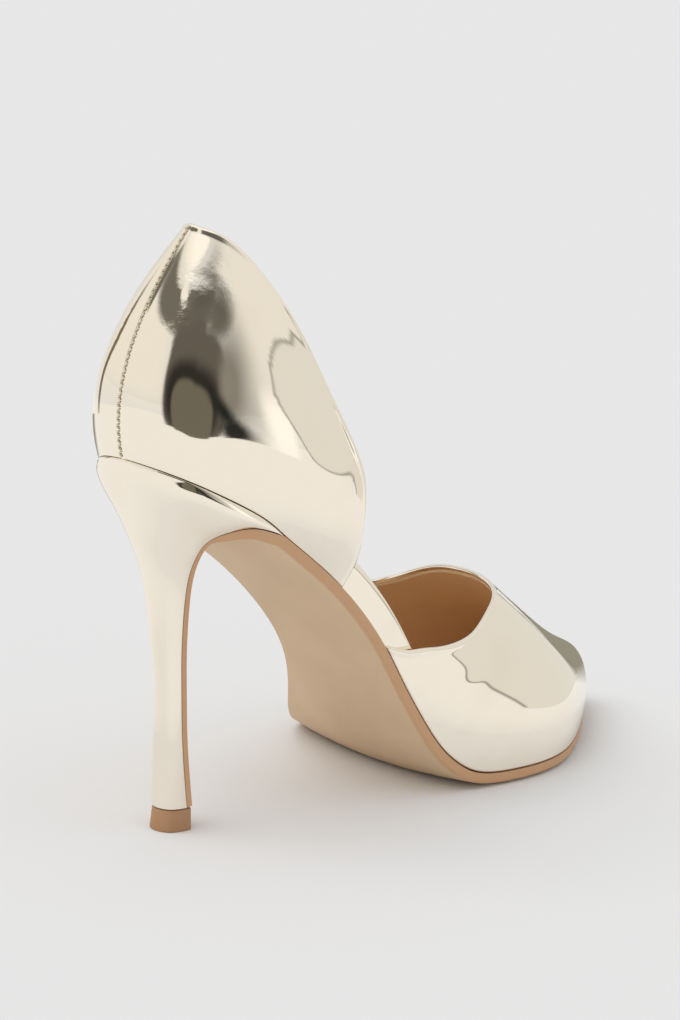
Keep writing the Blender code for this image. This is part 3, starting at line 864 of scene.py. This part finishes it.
def dented(grid, out, dents, across, up):
    """Presses the listed dents into a grid."""
    depth = np.zeros(grid.shape[:2])
    for *spot, deep in dents:
        depth += deep * MM * soft_spot(across, up, *spot)
    return grid - out * depth[..., None]


# For each dent: its place, as a row of the counter, negative on the inner side. Its height, as a
# share of the wall's. Its half sizes along and up. Its depth in millimetres, inwards.
COUNTER_DENTS = [
    (1.35, 0.62, 0.55, 0.10, 0.16),
    (0.95, 0.74, 0.40, 0.06, -0.10),
    (2.20, 0.90, 0.60, 0.05, 0.14),
    (1.55, 0.82, 0.50, 0.05, 0.10),
    (0.75, 0.50, 0.35, 0.07, 0.08),
    (-1.10, 0.55, 0.60, 0.09, 0.16),
    (-1.90, 0.72, 0.60, 0.07, 0.12),
    (-0.90, 0.36, 0.50, 0.08, -0.10),
    (3.40, 0.86, 0.70, 0.05, 0.10),
    (5.30, 0.88, 0.50, 0.07, 0.08),
]


# %% Counter surface
def counter_points(place, v):
    """Points of the counter's outer face. place counts rows from the seam, outer side positive."""
    side = np.where(place >= 0.0, OUTER, INNER)
    row = read_counter(np.abs(place))
    foot = feather(row["foot"], side)
    away = outward(row["foot"], side)
    flare = COUNTER_FLARE * np.where(side > 0, row["outer"], row["inner"])
    rise = stack(side * flare, COUNTER_LEAN * row["lean"], COUNTER_HEIGHT * row["height"])
    forward = stack(0.0, COUNTER_BOW * row["bow"], 0.0)
    low = foot + rise / 3.0 + away * (COUNTER_BULGE * row["low"])[..., None] + forward
    high = foot + rise * 2.0 / 3.0 + away * (COUNTER_BULGE * row["high"])[..., None] + forward
    v = v[..., None]
    return ((1 - v) ** 3 * foot + 3 * v * (1 - v) ** 2 * low
            + 3 * v**2 * (1 - v) * high + v**3 * (foot + rise))


COUNTER_LAST = len(COUNTER) - 1
COUNTER_LINES = 150
COUNTER_UP = 110
CLOSER_AT_SEAM = 1.35
CLOSER_IN_FRONT = 1.12
shares = np.linspace(0.0, 1.0, COUNTER_LINES) ** CLOSER_AT_SEAM
half_rows = COUNTER_LAST * (1.0 - (1.0 - shares) ** CLOSER_IN_FRONT)
counter_rows = np.concatenate([-half_rows[:0:-1], half_rows])
place_grid, up_grid = np.meshgrid(counter_rows, eased(COUNTER_UP), indexing="ij")
print("lines and points of the counter:", place_grid.shape)

# %% The corner where topline and front edge meet
# The topline runs on into the front edge. The last lines of the grid are turned so that the two
# meet without a kink, which would show as a ragged spot in a mirror.
CORNER_LINES = 16
CORNER_FROM = 0.35
CORNER_TURN = 1.3


def turned(line, top_run):
    """A line of the grid whose upper part leaves its top end along another direction."""
    start = int(len(line) * CORNER_FROM)
    low, top = line[start], line[-1]
    low_run = unit(line[start + 1] - line[start - 1])
    leg = np.linalg.norm(top - low)
    share = distances(line[start:])[:, None]
    share = share / share[-1]
    square, cube = share**2, share**3
    bend = ((2 * cube - 3 * square + 1) * low + (cube - 2 * square + share) * leg * low_run
            + (3 * square - 2 * cube) * top + (cube - square) * leg * top_run)
    return np.concatenate([line[:start], bend])


def with_soft_corner(grid):
    """The grid with the top of its last lines turned towards the topline."""
    softened = grid.copy()
    for n in range(1, CORNER_LINES + 1):
        line = grid[-n]
        own_run = unit(line[-1] - line[-2])
        topline_run = unit(grid[-n - 1, -1] - line[-1])
        top_run = unit(CORNER_TURN * topline_run + (1.0 - CORNER_TURN) * own_run)
        share = (CORNER_LINES + 1 - n) / CORNER_LINES
        strength = share * share * (3.0 - 2.0 * share)
        softened[-n] = line + strength * (turned(line, top_run) - line)
    return softened


counter_grid = with_soft_corner(counter_points(place_grid, up_grid))
counter_grid = with_soft_corner(counter_grid[::-1])[::-1]
counter_out = grid_normals(counter_grid, INSIDE_HEEL)
print("top of the back seam, mm:", np.round(1000 * counter_grid[COUNTER_LINES - 1, -1], 1))

# %% [markdown]
# The seam up the back stands out a little, with a fine groove along its middle where the two
# quarters meet. The lower edge of the wall is cut, and the thin gap between it and the heel is the
# dark line that parts the two. Along the topline and down the front edges the leather is thicker,
# because its edge is folded in.

# %% Walls and linings
SEAM_HALF = 0.62 * MM
SEAM_RAISE = 0.28 * MM
SEAM_SOFT = 0.13 * MM
GROOVE_HALF = 0.22 * MM
GROOVE_DEPTH = 0.12 * MM
FOLD_WIDTH = 1.6 * MM
FOLD_RAISE = 0.17 * MM
FOLD_SOFT = 0.17 * MM
LINING = 0.28 * MM
LINING_SUNK = 0.05 * MM
LINING_SHARE = 0.975


def folded(grid, out, edges):
    """Raises the strip along the named edges, where the leather is folded in."""
    raise_by = FOLD_RAISE * plateau(edge_distance(grid, edges), FOLD_WIDTH, FOLD_SOFT)
    return grid + out * raise_by[..., None]


def make_wall(name, grid, inside, round_edges, cut_edges, crumple, node):
    """A leather wall behind its outer grid, and how crumpled its foil is at each point."""
    out = grid_normals(grid, inside)
    curl = np.maximum(edge_curl(grid, round_edges, UPPER_WALL / 2.0),
                      edge_curl(grid, cut_edges, CUT_EDGE))[..., None]
    sides = np.stack([grid - out * curl, grid - out * (UPPER_WALL - curl)])
    piece = new_piece(name, sides, wall_faces(*grid.shape[:2]), upper_gold,
                      layers={"crumple": np.stack([crumple, crumple])})
    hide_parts(node)


def make_lining(name, grid, inside):
    """A thin lining against the inner face of a wall."""
    out = grid_normals(grid, inside)
    sides = [grid - out * depth for depth in (UPPER_WALL - LINING_SUNK, UPPER_WALL + LINING)]
    new_piece(name, sides, wall_faces(*grid.shape[:2]), lining_tan)


# %% Counter, seam and folded edge
counter_grid = dented(counter_grid, counter_out, COUNTER_DENTS, place_grid, up_grid)
from_seam = np.abs(counter_grid[..., 0])
ridge = SEAM_RAISE * plateau(from_seam, SEAM_HALF, SEAM_SOFT)
groove = GROOVE_DEPTH * np.exp(-((from_seam / GROOVE_HALF) ** 2))
back_half = np.abs(place_grid) < 1.0
counter_grid = counter_grid + counter_out * np.where(back_half, ridge - groove, 0.0)[..., None]
counter_grid = folded(counter_grid, counter_out, ("high", "first_line", "last_line"))

# Where the foil is finely crumpled: place, height and half sizes, as for the dents.
CRUMPLED = ((1.25, 0.72, 0.75, 0.15), (-1.10, 0.60, 0.90, 0.16), (2.3, 0.86, 0.80, 0.07))
crumple = np.max([soft_spot(place_grid, up_grid, *spot) for spot in CRUMPLED], axis=0)
make_wall("counter_leather", counter_grid, INSIDE_HEEL, ("first_line", "last_line", "high"),
          ("low",), crumple, "counter")
lining_grid = counter_points(LINING_SHARE * place_grid[::2, ::2], LINING_SHARE * up_grid[::2, ::2])
make_lining("counter_lining", lining_grid, INSIDE_HEEL)

# %% [markdown]
# A zigzag of thread closes the back seam. Each stitch is a short round bar with domed ends,
# laid across the seam on a slant, every other one the other way. They are real geometry, because
# their glints are what makes the seam read as sewn.

# %% Back seam stitches
STITCH_PITCH = 0.92 * MM
STITCH_HALF = 0.44 * MM
STITCH_RADIUS = 0.25 * MM
STITCH_SLANT = 0.30 * MM
STITCH_STANDS = 0.30 * MM
STITCH_SIDES = 8
STITCH_ARCH = 0.35
FIRST_STITCH = 1.3 * MM
LAST_STITCH = 0.8 * MM
LOOK_AHEAD = 0.5 * MM
TWISTS_PER_METRE = 2600.0
# share of the stitch's length, share of its radius
STITCH_RINGS = ((-0.02, 0.15), (0.03, 0.70), (0.15, 0.97), (0.5, 1.0), (0.85, 0.97), (0.97, 0.70),
                (1.02, 0.15))


def stitch(start, end, up):
    """Rings of points of a round bar with domed ends, arched a little over the seam."""
    run = end - start
    length = np.linalg.norm(run)
    run = run / length
    side = unit(np.cross(run, up))
    over = np.cross(side, run)
    angles = 2.0 * np.pi * np.arange(STITCH_SIDES)[:, None] / STITCH_SIDES
    spokes = side * np.cos(angles) + over * np.sin(angles)
    rings = []
    for share, thick in STITCH_RINGS:
        arch = STITCH_ARCH * STITCH_RADIUS * (1.0 - (2.0 * share - 1.0) ** 2)
        centre = start + run * length * share + over * arch
        rings.append(centre + STITCH_RADIUS * thick * spokes)
    return rings


# %% Stitches along the seam
middle = len(counter_rows) // 2
seam_up = counter_out[middle]
seam_line = counter_grid[middle] + seam_up * STITCH_STANDS
seam_run = distances(seam_line)
stations = np.arange(FIRST_STITCH, seam_run[-1] - LAST_STITCH, STITCH_PITCH)
centres = points_at(stations, seam_run, seam_line)
seam_way = unit(points_at(stations + LOOK_AHEAD, seam_run, seam_line) - centres)
ups = unit(points_at(stations, seam_run, seam_up))
rings, faces = [], []
for n, (centre, way, up) in enumerate(zip(centres, seam_way, ups)):
    half = np.array([STITCH_HALF, 0.0, 0.0]) + way * STITCH_SLANT * (1 if n % 2 else -1)
    base = len(rings) * STITCH_SIDES
    rings += stitch(centre - half, centre + half, up)
    top = len(rings) * STITCH_SIDES
    faces += grid_faces(len(STITCH_RINGS), STITCH_SIDES, start=base, closed=True)
    faces += [tuple(range(base, base + STITCH_SIDES)), tuple(range(top - STITCH_SIDES, top))]
thread_gold, tree, shader = new_finish("seam_thread", 0.32, metallic=0.75)
twist = noise_of(tree, TWISTS_PER_METRE, detail=2.0)
tint_by(tree, twist, (0.60, 0.51, 0.36), (0.86, 0.78, 0.62), shader)
new_piece("seam_stitches", rings, faces, thread_gold)

# %% [markdown]
# The vamp is the closed front. Its leather is pulled down over the last to the feather line, and
# its topline dips from two wings at the waist to the throat. One grid runs from the topline to
# the toe, and a rounder-than-oval arch gives the full shoulders of a lasted shoe.

# %% Vamp surface
VAMP_LINES = 220
VAMP_ALONG = 170
VAMP_END = 0.9995
VAMP_EASE = 0.35
VAMP_SIDE_BLEND = 6.0
VAMP_SWELL_BLEND = 8.0
VAMP_SWELL_RISE = 1.15
VAMP_LINING_FROM = 0.012
VAMP_LINING_REACH = 0.985
# For each dent: its share of the way over the arch and of the way to the toe. Its half sizes, as
# shares too. Its depth in millimetres, inwards.
VAMP_DENTS = [
    (0.060, 0.060, 0.030, 0.030, 0.22),
    (0.100, 0.115, 0.040, 0.022, -0.12),
    (0.160, 0.090, 0.060, 0.028, 0.16),
    (0.880, 0.110, 0.050, 0.040, 0.18),
    (0.800, 0.160, 0.060, 0.030, 0.14),
    (0.500, 0.070, 0.140, 0.030, 0.10),
    (0.300, 0.450, 0.090, 0.080, 0.10),
]


def vamp_points(place, around):
    """Points of the vamp's outer face, by section and by share of the way over the arch."""
    sizes = read_vamp(place - VAMP_START_ROW)
    outer = feather(place, OUTER)
    inner = feather(place, INNER)
    angle = np.pi * around
    power = 2.0 / VAMP_FULLNESS
    wide = np.sign(np.cos(angle)) * np.abs(np.cos(angle)) ** power
    high = np.maximum(np.sin(angle), 0.0) ** power
    lean = 0.5 + 0.5 * np.tanh(VAMP_SIDE_BLEND * wide)
    bulge = VAMP_BULGE * (sizes["outer"] * lean + sizes["inner"] * (1.0 - lean))
    swell = np.sin(np.pi * np.minimum(high * VAMP_SWELL_RISE, 1.0)) * bulge
    swell = swell * np.tanh(VAMP_SWELL_BLEND * wide)
    crown = np.maximum(sizes["crown"], 0.0) * INSTEP_HEIGHT * high
    middle = (outer + inner) / 2.0 + (outer - inner) / 2.0 * wide[..., None]
    return middle + stack(swell, 0.0, crown) + sole_up(place) * CLEARANCE


# %% Vamp wall and its lining
topline = read_topline((len(TOPLINE) - 1) * eased(VAMP_LINES, ends=VAMP_EASE))
around_grid, along_grid = np.meshgrid(np.clip(topline["around"], 0.0, 1.0),
                                      VAMP_END * eased(VAMP_ALONG, ends=VAMP_EASE), indexing="ij")
start_row = topline["row"][:, None]
vamp_rows = start_row + (TOE_ROW - start_row) * along_grid
vamp_grid = vamp_points(vamp_rows, around_grid)
vamp_out = grid_normals(vamp_grid, INSIDE_TOE)
vamp_grid = dented(vamp_grid, vamp_out, VAMP_DENTS, around_grid, along_grid)
vamp_grid = folded(vamp_grid, vamp_out, ("low",))
make_wall("vamp_leather", vamp_grid, INSIDE_TOE, ("low",), ("first_line", "last_line"),
          np.zeros(vamp_rows.shape), "vamp")
lining_along = VAMP_LINING_FROM + VAMP_LINING_REACH * along_grid
lining_rows = start_row + (TOE_ROW - start_row) * lining_along
make_lining("vamp_lining", vamp_points(lining_rows[::2, ::2], around_grid[::2, ::2]), INSIDE_TOE)

# %% [markdown]
# The heel is one moulding covered in the same foil. Its sections are tilted: each spans from the
# breast, the face towards the arch, to the back. All have the outline of the seat, so the
# form flows from the slim stem into the cup that carries the shoe.

# %% Heel surface
HEEL_LEVELS = 200
HEEL_SIDE = 60
HEEL_EDGE = 0.42 * MM
HEEL_FOOT_EDGE = 0.25 * MM
HEEL_FOOT_RISE = 0.12 * MM
HEEL_FOOT_LEVELS = (0.0, 0.02, 0.05)
SEAT_BLEND_ROWS = 3.0
HEEL_FOOT = TOP_PIECE_HEIGHT + CLEARANCE


def seat_shares(count):
    """The seat's edge from its outer front corner to its back, as (x, back) shares."""
    corner = feather(CORNER_ROW, OUTER)
    back = feather(0.0, OUTER)
    edge = feather(np.linspace(CORNER_ROW, 0.0, count), OUTER)
    return edge[:, 0] / corner[0], (corner[1] - edge[:, 1]) / (corner[1] - back[1])


def heel_sizes(place):
    """Front edge, back edge and half width of heel sections, the seat being the last."""
    table = [list(row) for row in HEEL]
    corner = (feather(CORNER_ROW, OUTER) + feather(CORNER_ROW, INNER)) / 2.0
    back = feather(0.0, OUTER)
    rise = SEAT_HEIGHT - HEEL_FOOT
    table.append([-corner[1] / HEEL_SETBACK, (corner[2] - HEEL_FOOT) / rise, 0.90, 1.0,
                  -back[1] / HEEL_SETBACK, (back[2] - HEEL_FOOT) / rise])
    row = batten(HEEL_COLUMNS, table)(place)
    stem = row["stem"] * STEM_WIDTH / 2.0
    seat = feather(CORNER_ROW, OUTER)[0]
    front = stack(0.0, -row["front"] * HEEL_SETBACK, HEEL_FOOT + row["front_up"] * rise)
    back = stack(0.0, -row["back"] * HEEL_SETBACK, HEEL_FOOT + row["back_up"] * rise)
    return front, back, stem + row["spread"] * (seat - stem)


levels = (HEEL_TOP + 1) * np.linspace(0.0, 1.0, HEEL_LEVELS)
levels = np.concatenate([HEEL_FOOT_LEVELS, levels[1:]])
front, back, half = heel_sizes(levels)
wide, deep = seat_shares(HEEL_SIDE)
side_points = (front[:, None] + deep[None, :, None] * (back - front)[:, None]
               + stack(wide[None, :] * half[:, None], 0.0, 0.0))
seat_edge = feather(np.linspace(CORNER_ROW, 0.0, HEEL_SIDE), OUTER)
lift = seat_edge[:, 2] - side_points[-1, :, 2]
ease = np.clip((levels - HEEL_TOP - 1) / SEAT_BLEND_ROWS + 1.0, 0.0, 1.0) ** 2
side_points[..., 2] += ease[:, None] * lift[None, :]
heel_grid = np.concatenate([side_points, side_points[:, -2::-1] * MIRRORED], axis=1)
print("heel's face, points:", heel_grid.shape[:2])


# %% Heel mesh
def shrunk(ring, by):
    """A ring moved towards its own middle, level, by a length."""
    centre = ring.mean(axis=0)
    away = ring - centre
    away[:, 2] = 0.0
    return ring - unit(away) * by


rounding = []
for angle in np.radians((30.0, 60.0, 90.0)):
    ring = shrunk(heel_grid[-1], HEEL_EDGE * (1.0 - math.cos(angle)))
    ring[:, 2] += HEEL_EDGE * (math.sin(angle) - 1.0)
    rounding.append(ring)
drop = HEEL_EDGE * np.clip(levels - HEEL_TOP, 0.0, 1.0) ** 3
heel_body = heel_grid - stack(0.0, 0.0, drop)[:, None]
heel_body[0, :, 2] += HEEL_FOOT_RISE
heel_rings = [shrunk(heel_grid[0], HEEL_FOOT_EDGE), *heel_body, *rounding]
ring_size = heel_grid.shape[1]
faces = grid_faces(len(heel_rings), ring_size, closed=True)
faces.append(tuple(range(ring_size)))
top = (len(heel_rings) - 1) * ring_size
for i in range(ring_size // 2):
    j = ring_size - 1 - i
    across = (top + j - 1, top + j) if j - 1 > i + 1 else (top + j,)
    faces.append((top + i, top + i + 1, *across))
heel = new_piece("heel_cover", heel_rings, faces, heel_gold, sharp=40)
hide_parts("heel")

# %% [markdown]
# The sole is one piece of tan leather, from the toe to the waist and then down the front of the
# heel as a flap. Its face is pale and its edge is dyed darker, and all its corners are worked
# round. The tone of the edge is stored on the mesh's points, so the shader can mix the two.

# %% Sections of a slab
FLAP_SECTIONS = 90
SOLE_SECTIONS = 150
SOLE_SIDE = 7
SOLE_ACROSS = 26
SOLE_STOP = 0.2
SOLE_EDGE_ROUND = 1.0 * MM
SOLE_EDGE_SHARE = 0.3
FLAP_EDGE_ROUND = 0.7 * MM
LEATHER_SHARP = 50


def slab(outer, inner, down, thickness, edge, swell=0.0):
    """A closed section of a slab. Its two far edges are round."""
    inset = unit(inner - outer)
    turn = np.linspace(0.0, np.pi / 2.0, SOLE_SIDE)[:, None]
    inwards = inset * edge * (1.0 - np.cos(turn))
    downwards = down * (thickness - edge * (1.0 - np.sin(turn)))
    half_way = down * (thickness - edge) * 0.5
    start = outer + down * thickness + inset * edge
    end = inner + down * thickness - inset * edge
    share = np.linspace(0.0, 1.0, SOLE_ACROSS)[1:-1, None]
    face = start + (end - start) * share + down * swell * (1.0 - (2.0 * share - 1.0) ** 2)
    return np.vstack([outer, outer + half_way, outer + inwards + downwards, face,
                      (inner - inwards + downwards)[::-1], inner + half_way, inner])


def slab_dye():
    """How much of each point of such a section is dyed edge."""
    rounded = 1.0 - np.linspace(0.0, 1.0, SOLE_SIDE) ** 3
    return np.concatenate([[1.0, 1.0], rounded, np.zeros(SOLE_ACROSS - 2), rounded[::-1],
                           [1.0, 1.0]])


def breast_out(place):
    """The direction that the heel's breast faces."""
    run = run_at(lambda spot: heel_sizes(spot)[0], place, HEEL_TOP)
    return unit(stack(0.0, run[2], -run[1]))


# %% Sole
sections = []
for place in np.linspace(0.0, HEEL_TOP, FLAP_SECTIONS):
    front, _, half = heel_sizes(place)
    out = breast_out(place)
    side = stack(half, 0.0, 0.0)
    inside = front + out * CLEARANCE
    thickness = FLAP_THICKNESS + (SOLE_THICKNESS - FLAP_THICKNESS) * (place / HEEL_TOP) ** 4
    sections.append(slab(inside + side, inside - side, out, thickness, FLAP_EDGE_ROUND))
for place in np.linspace(BREAST_ROW, TOE_ROW - SOLE_STOP, SOLE_SECTIONS):
    outer, inner = feather(place, OUTER), feather(place, INNER)
    edge = min(SOLE_EDGE_ROUND, SOLE_EDGE_SHARE * (outer[0] - inner[0]))
    swell = SOLE_CAMBER * read_feather(place)["camber"]
    section = slab(outer, inner, -sole_up(place), SOLE_THICKNESS, edge, swell)
    section[:, 2] = np.maximum(section[:, 2], 0.0)
    sections.append(section)
sole = loft("sole_leather", sections, sole_tan, LEATHER_SHARP,
            layers={"edge": np.tile(slab_dye(), len(sections))})
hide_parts("outsole")

# %% [markdown]
# The top piece is the small tan block that the heel stands on. It is replaced when it wears down.
# It has the stem's outline, with rounded front corners, and a slightly wider foot.

# %% Top piece
TOP_PIECE_FLARE = 0.3 * MM
TOP_PIECE_EDGE = 0.35 * MM
TOP_PIECE_RIM = 0.25 * MM
TOP_PIECE_RIM_TURN = 0.07 * MM
TOP_PIECE_CORNER = 0.30
TOP_PIECE_TURN = 8
TOP_PIECE_SIDE = 40
# height, growth outwards
TOP_PIECE_PROFILE = (
    (0.0, -TOP_PIECE_EDGE),
    (TOP_PIECE_EDGE * 0.3, -TOP_PIECE_EDGE * 0.3),
    (TOP_PIECE_EDGE, 0.0),
    (TOP_PIECE_HEIGHT * 0.5, 0.0),
    (TOP_PIECE_HEIGHT - TOP_PIECE_RIM, 0.0),
    (TOP_PIECE_HEIGHT - TOP_PIECE_RIM_TURN, -TOP_PIECE_RIM_TURN),
    (TOP_PIECE_HEIGHT, -TOP_PIECE_RIM),
)
front, back, half = heel_sizes(0.0)
ahead = front[1] + breast_out(0.0)[1] * (CLEARANCE + FLAP_THICKNESS)
wide, deep = seat_shares(TOP_PIECE_SIDE)
turn = np.linspace(0.0, np.pi / 2.0, TOP_PIECE_TURN)
rings = []
for up, grow in TOP_PIECE_PROFILE:
    flare = TOP_PIECE_FLARE * (1.0 - up / TOP_PIECE_HEIGHT) + grow
    width = half + flare
    corner = TOP_PIECE_CORNER * width
    x = np.concatenate([width - corner * (1.0 - np.sin(turn)), wide[1:] * width])
    y = np.concatenate([ahead + flare - corner * (1.0 - np.cos(turn)),
                        front[1] + deep[1:] * (back[1] - flare - front[1])])
    ring = stack(x, y, up)
    rings.append(np.concatenate([ring, ring[-2::-1] * MIRRORED]))
tip = loft("top_piece_block", rings, top_piece_tan, LEATHER_SHARP)
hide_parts("top_piece")

# %% [markdown]
# The insole is the padded footbed, a board covered in the lining leather. Its rim is rounded
# where the cover is pulled over the board.

# %% Insole
INSOLE_EDGE = 1.2 * MM
INSOLE_STOP = 1.5
INSOLE_PLACES = np.concatenate([[0.25, 0.45, 0.7], np.linspace(1.0, TOE_ROW - INSOLE_STOP, 130)])
BAND_RAMP = 0.4
BAND_MARGIN = 0.6


def insole_inset(place):
    """How far the insole stays inside the feather: behind the walls, and behind the bands."""
    behind_wall = UPPER_WALL + 2.0 * CLEARANCE
    behind_band = UPPER_WALL + BAND_THICKNESS + 3.0 * CLEARANCE
    past_band = min(place - BAND_START_ROW, BAND_END_ROW - place) + BAND_MARGIN
    share = min(max(past_band / BAND_RAMP, 0.0), 1.0)
    return behind_wall + (behind_band - behind_wall) * share


sections = []
for place in INSOLE_PLACES:
    up = sole_up(place)
    ends = [feather(place, side) - outward(place, side) * insole_inset(place) + up * CLEARANCE
            for side in (OUTER, INNER)]
    sections.append(slab(*ends, up, INSOLE_THICKNESS, INSOLE_EDGE))
insole = loft("insole_cover", sections, lining_tan, LEATHER_SHARP)
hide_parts("insole")

# %% [markdown]
# A low gold band edges the waist on both sides, where the foot is bare. It is a strip of the
# upper's leather folded over a cord-like core, so its top edge is round. It runs under the
# counter at one end and under the vamp at the other.

# %% Waist bands
BAND_SECTIONS = 90
BAND_TOP_STEPS = 17
BAND_FACE_SHARES = (0.0, 0.15, 0.5, 0.8)


def make_band(name, side, node):
    """One waist band, from under the counter to under the vamp's wing."""
    radius = BAND_THICKNESS / 2.0
    straight = BAND_HEIGHT - radius
    turn = np.linspace(0.0, np.pi, BAND_TOP_STEPS)[:, None]
    rings = []
    for place in np.linspace(BAND_START_ROW, BAND_END_ROW, BAND_SECTIONS):
        up, away = sole_up(place), outward(place, side)
        foot = feather(place, side) - away * (UPPER_WALL + CLEARANCE) + up * CLEARANCE
        face = foot + up * straight * np.array(BAND_FACE_SHARES)[:, None]
        top = foot - away * radius + up * straight
        round_top = top + radius * (away * np.cos(turn) + up * np.sin(turn))
        rings.append(np.vstack([foot - away * BAND_THICKNESS, face, round_top]))
    band = loft(name, rings, upper_gold, sharp=60)
    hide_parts(node)


make_band("outer_band", OUTER, "waist_band_outer")
make_band("inner_band", INNER, "waist_band_inner")

# %% [markdown]
# Last, the box of the dressed shoe is printed, beside the box of the solids printed at the start.
# The dressed shoe has to keep to the box of the solids within a millimetre.

# %% Sizes and finish
visual_box = [list(corner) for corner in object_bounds()]
print("box of the dressed shoe, mm:", in_mm(visual_box))
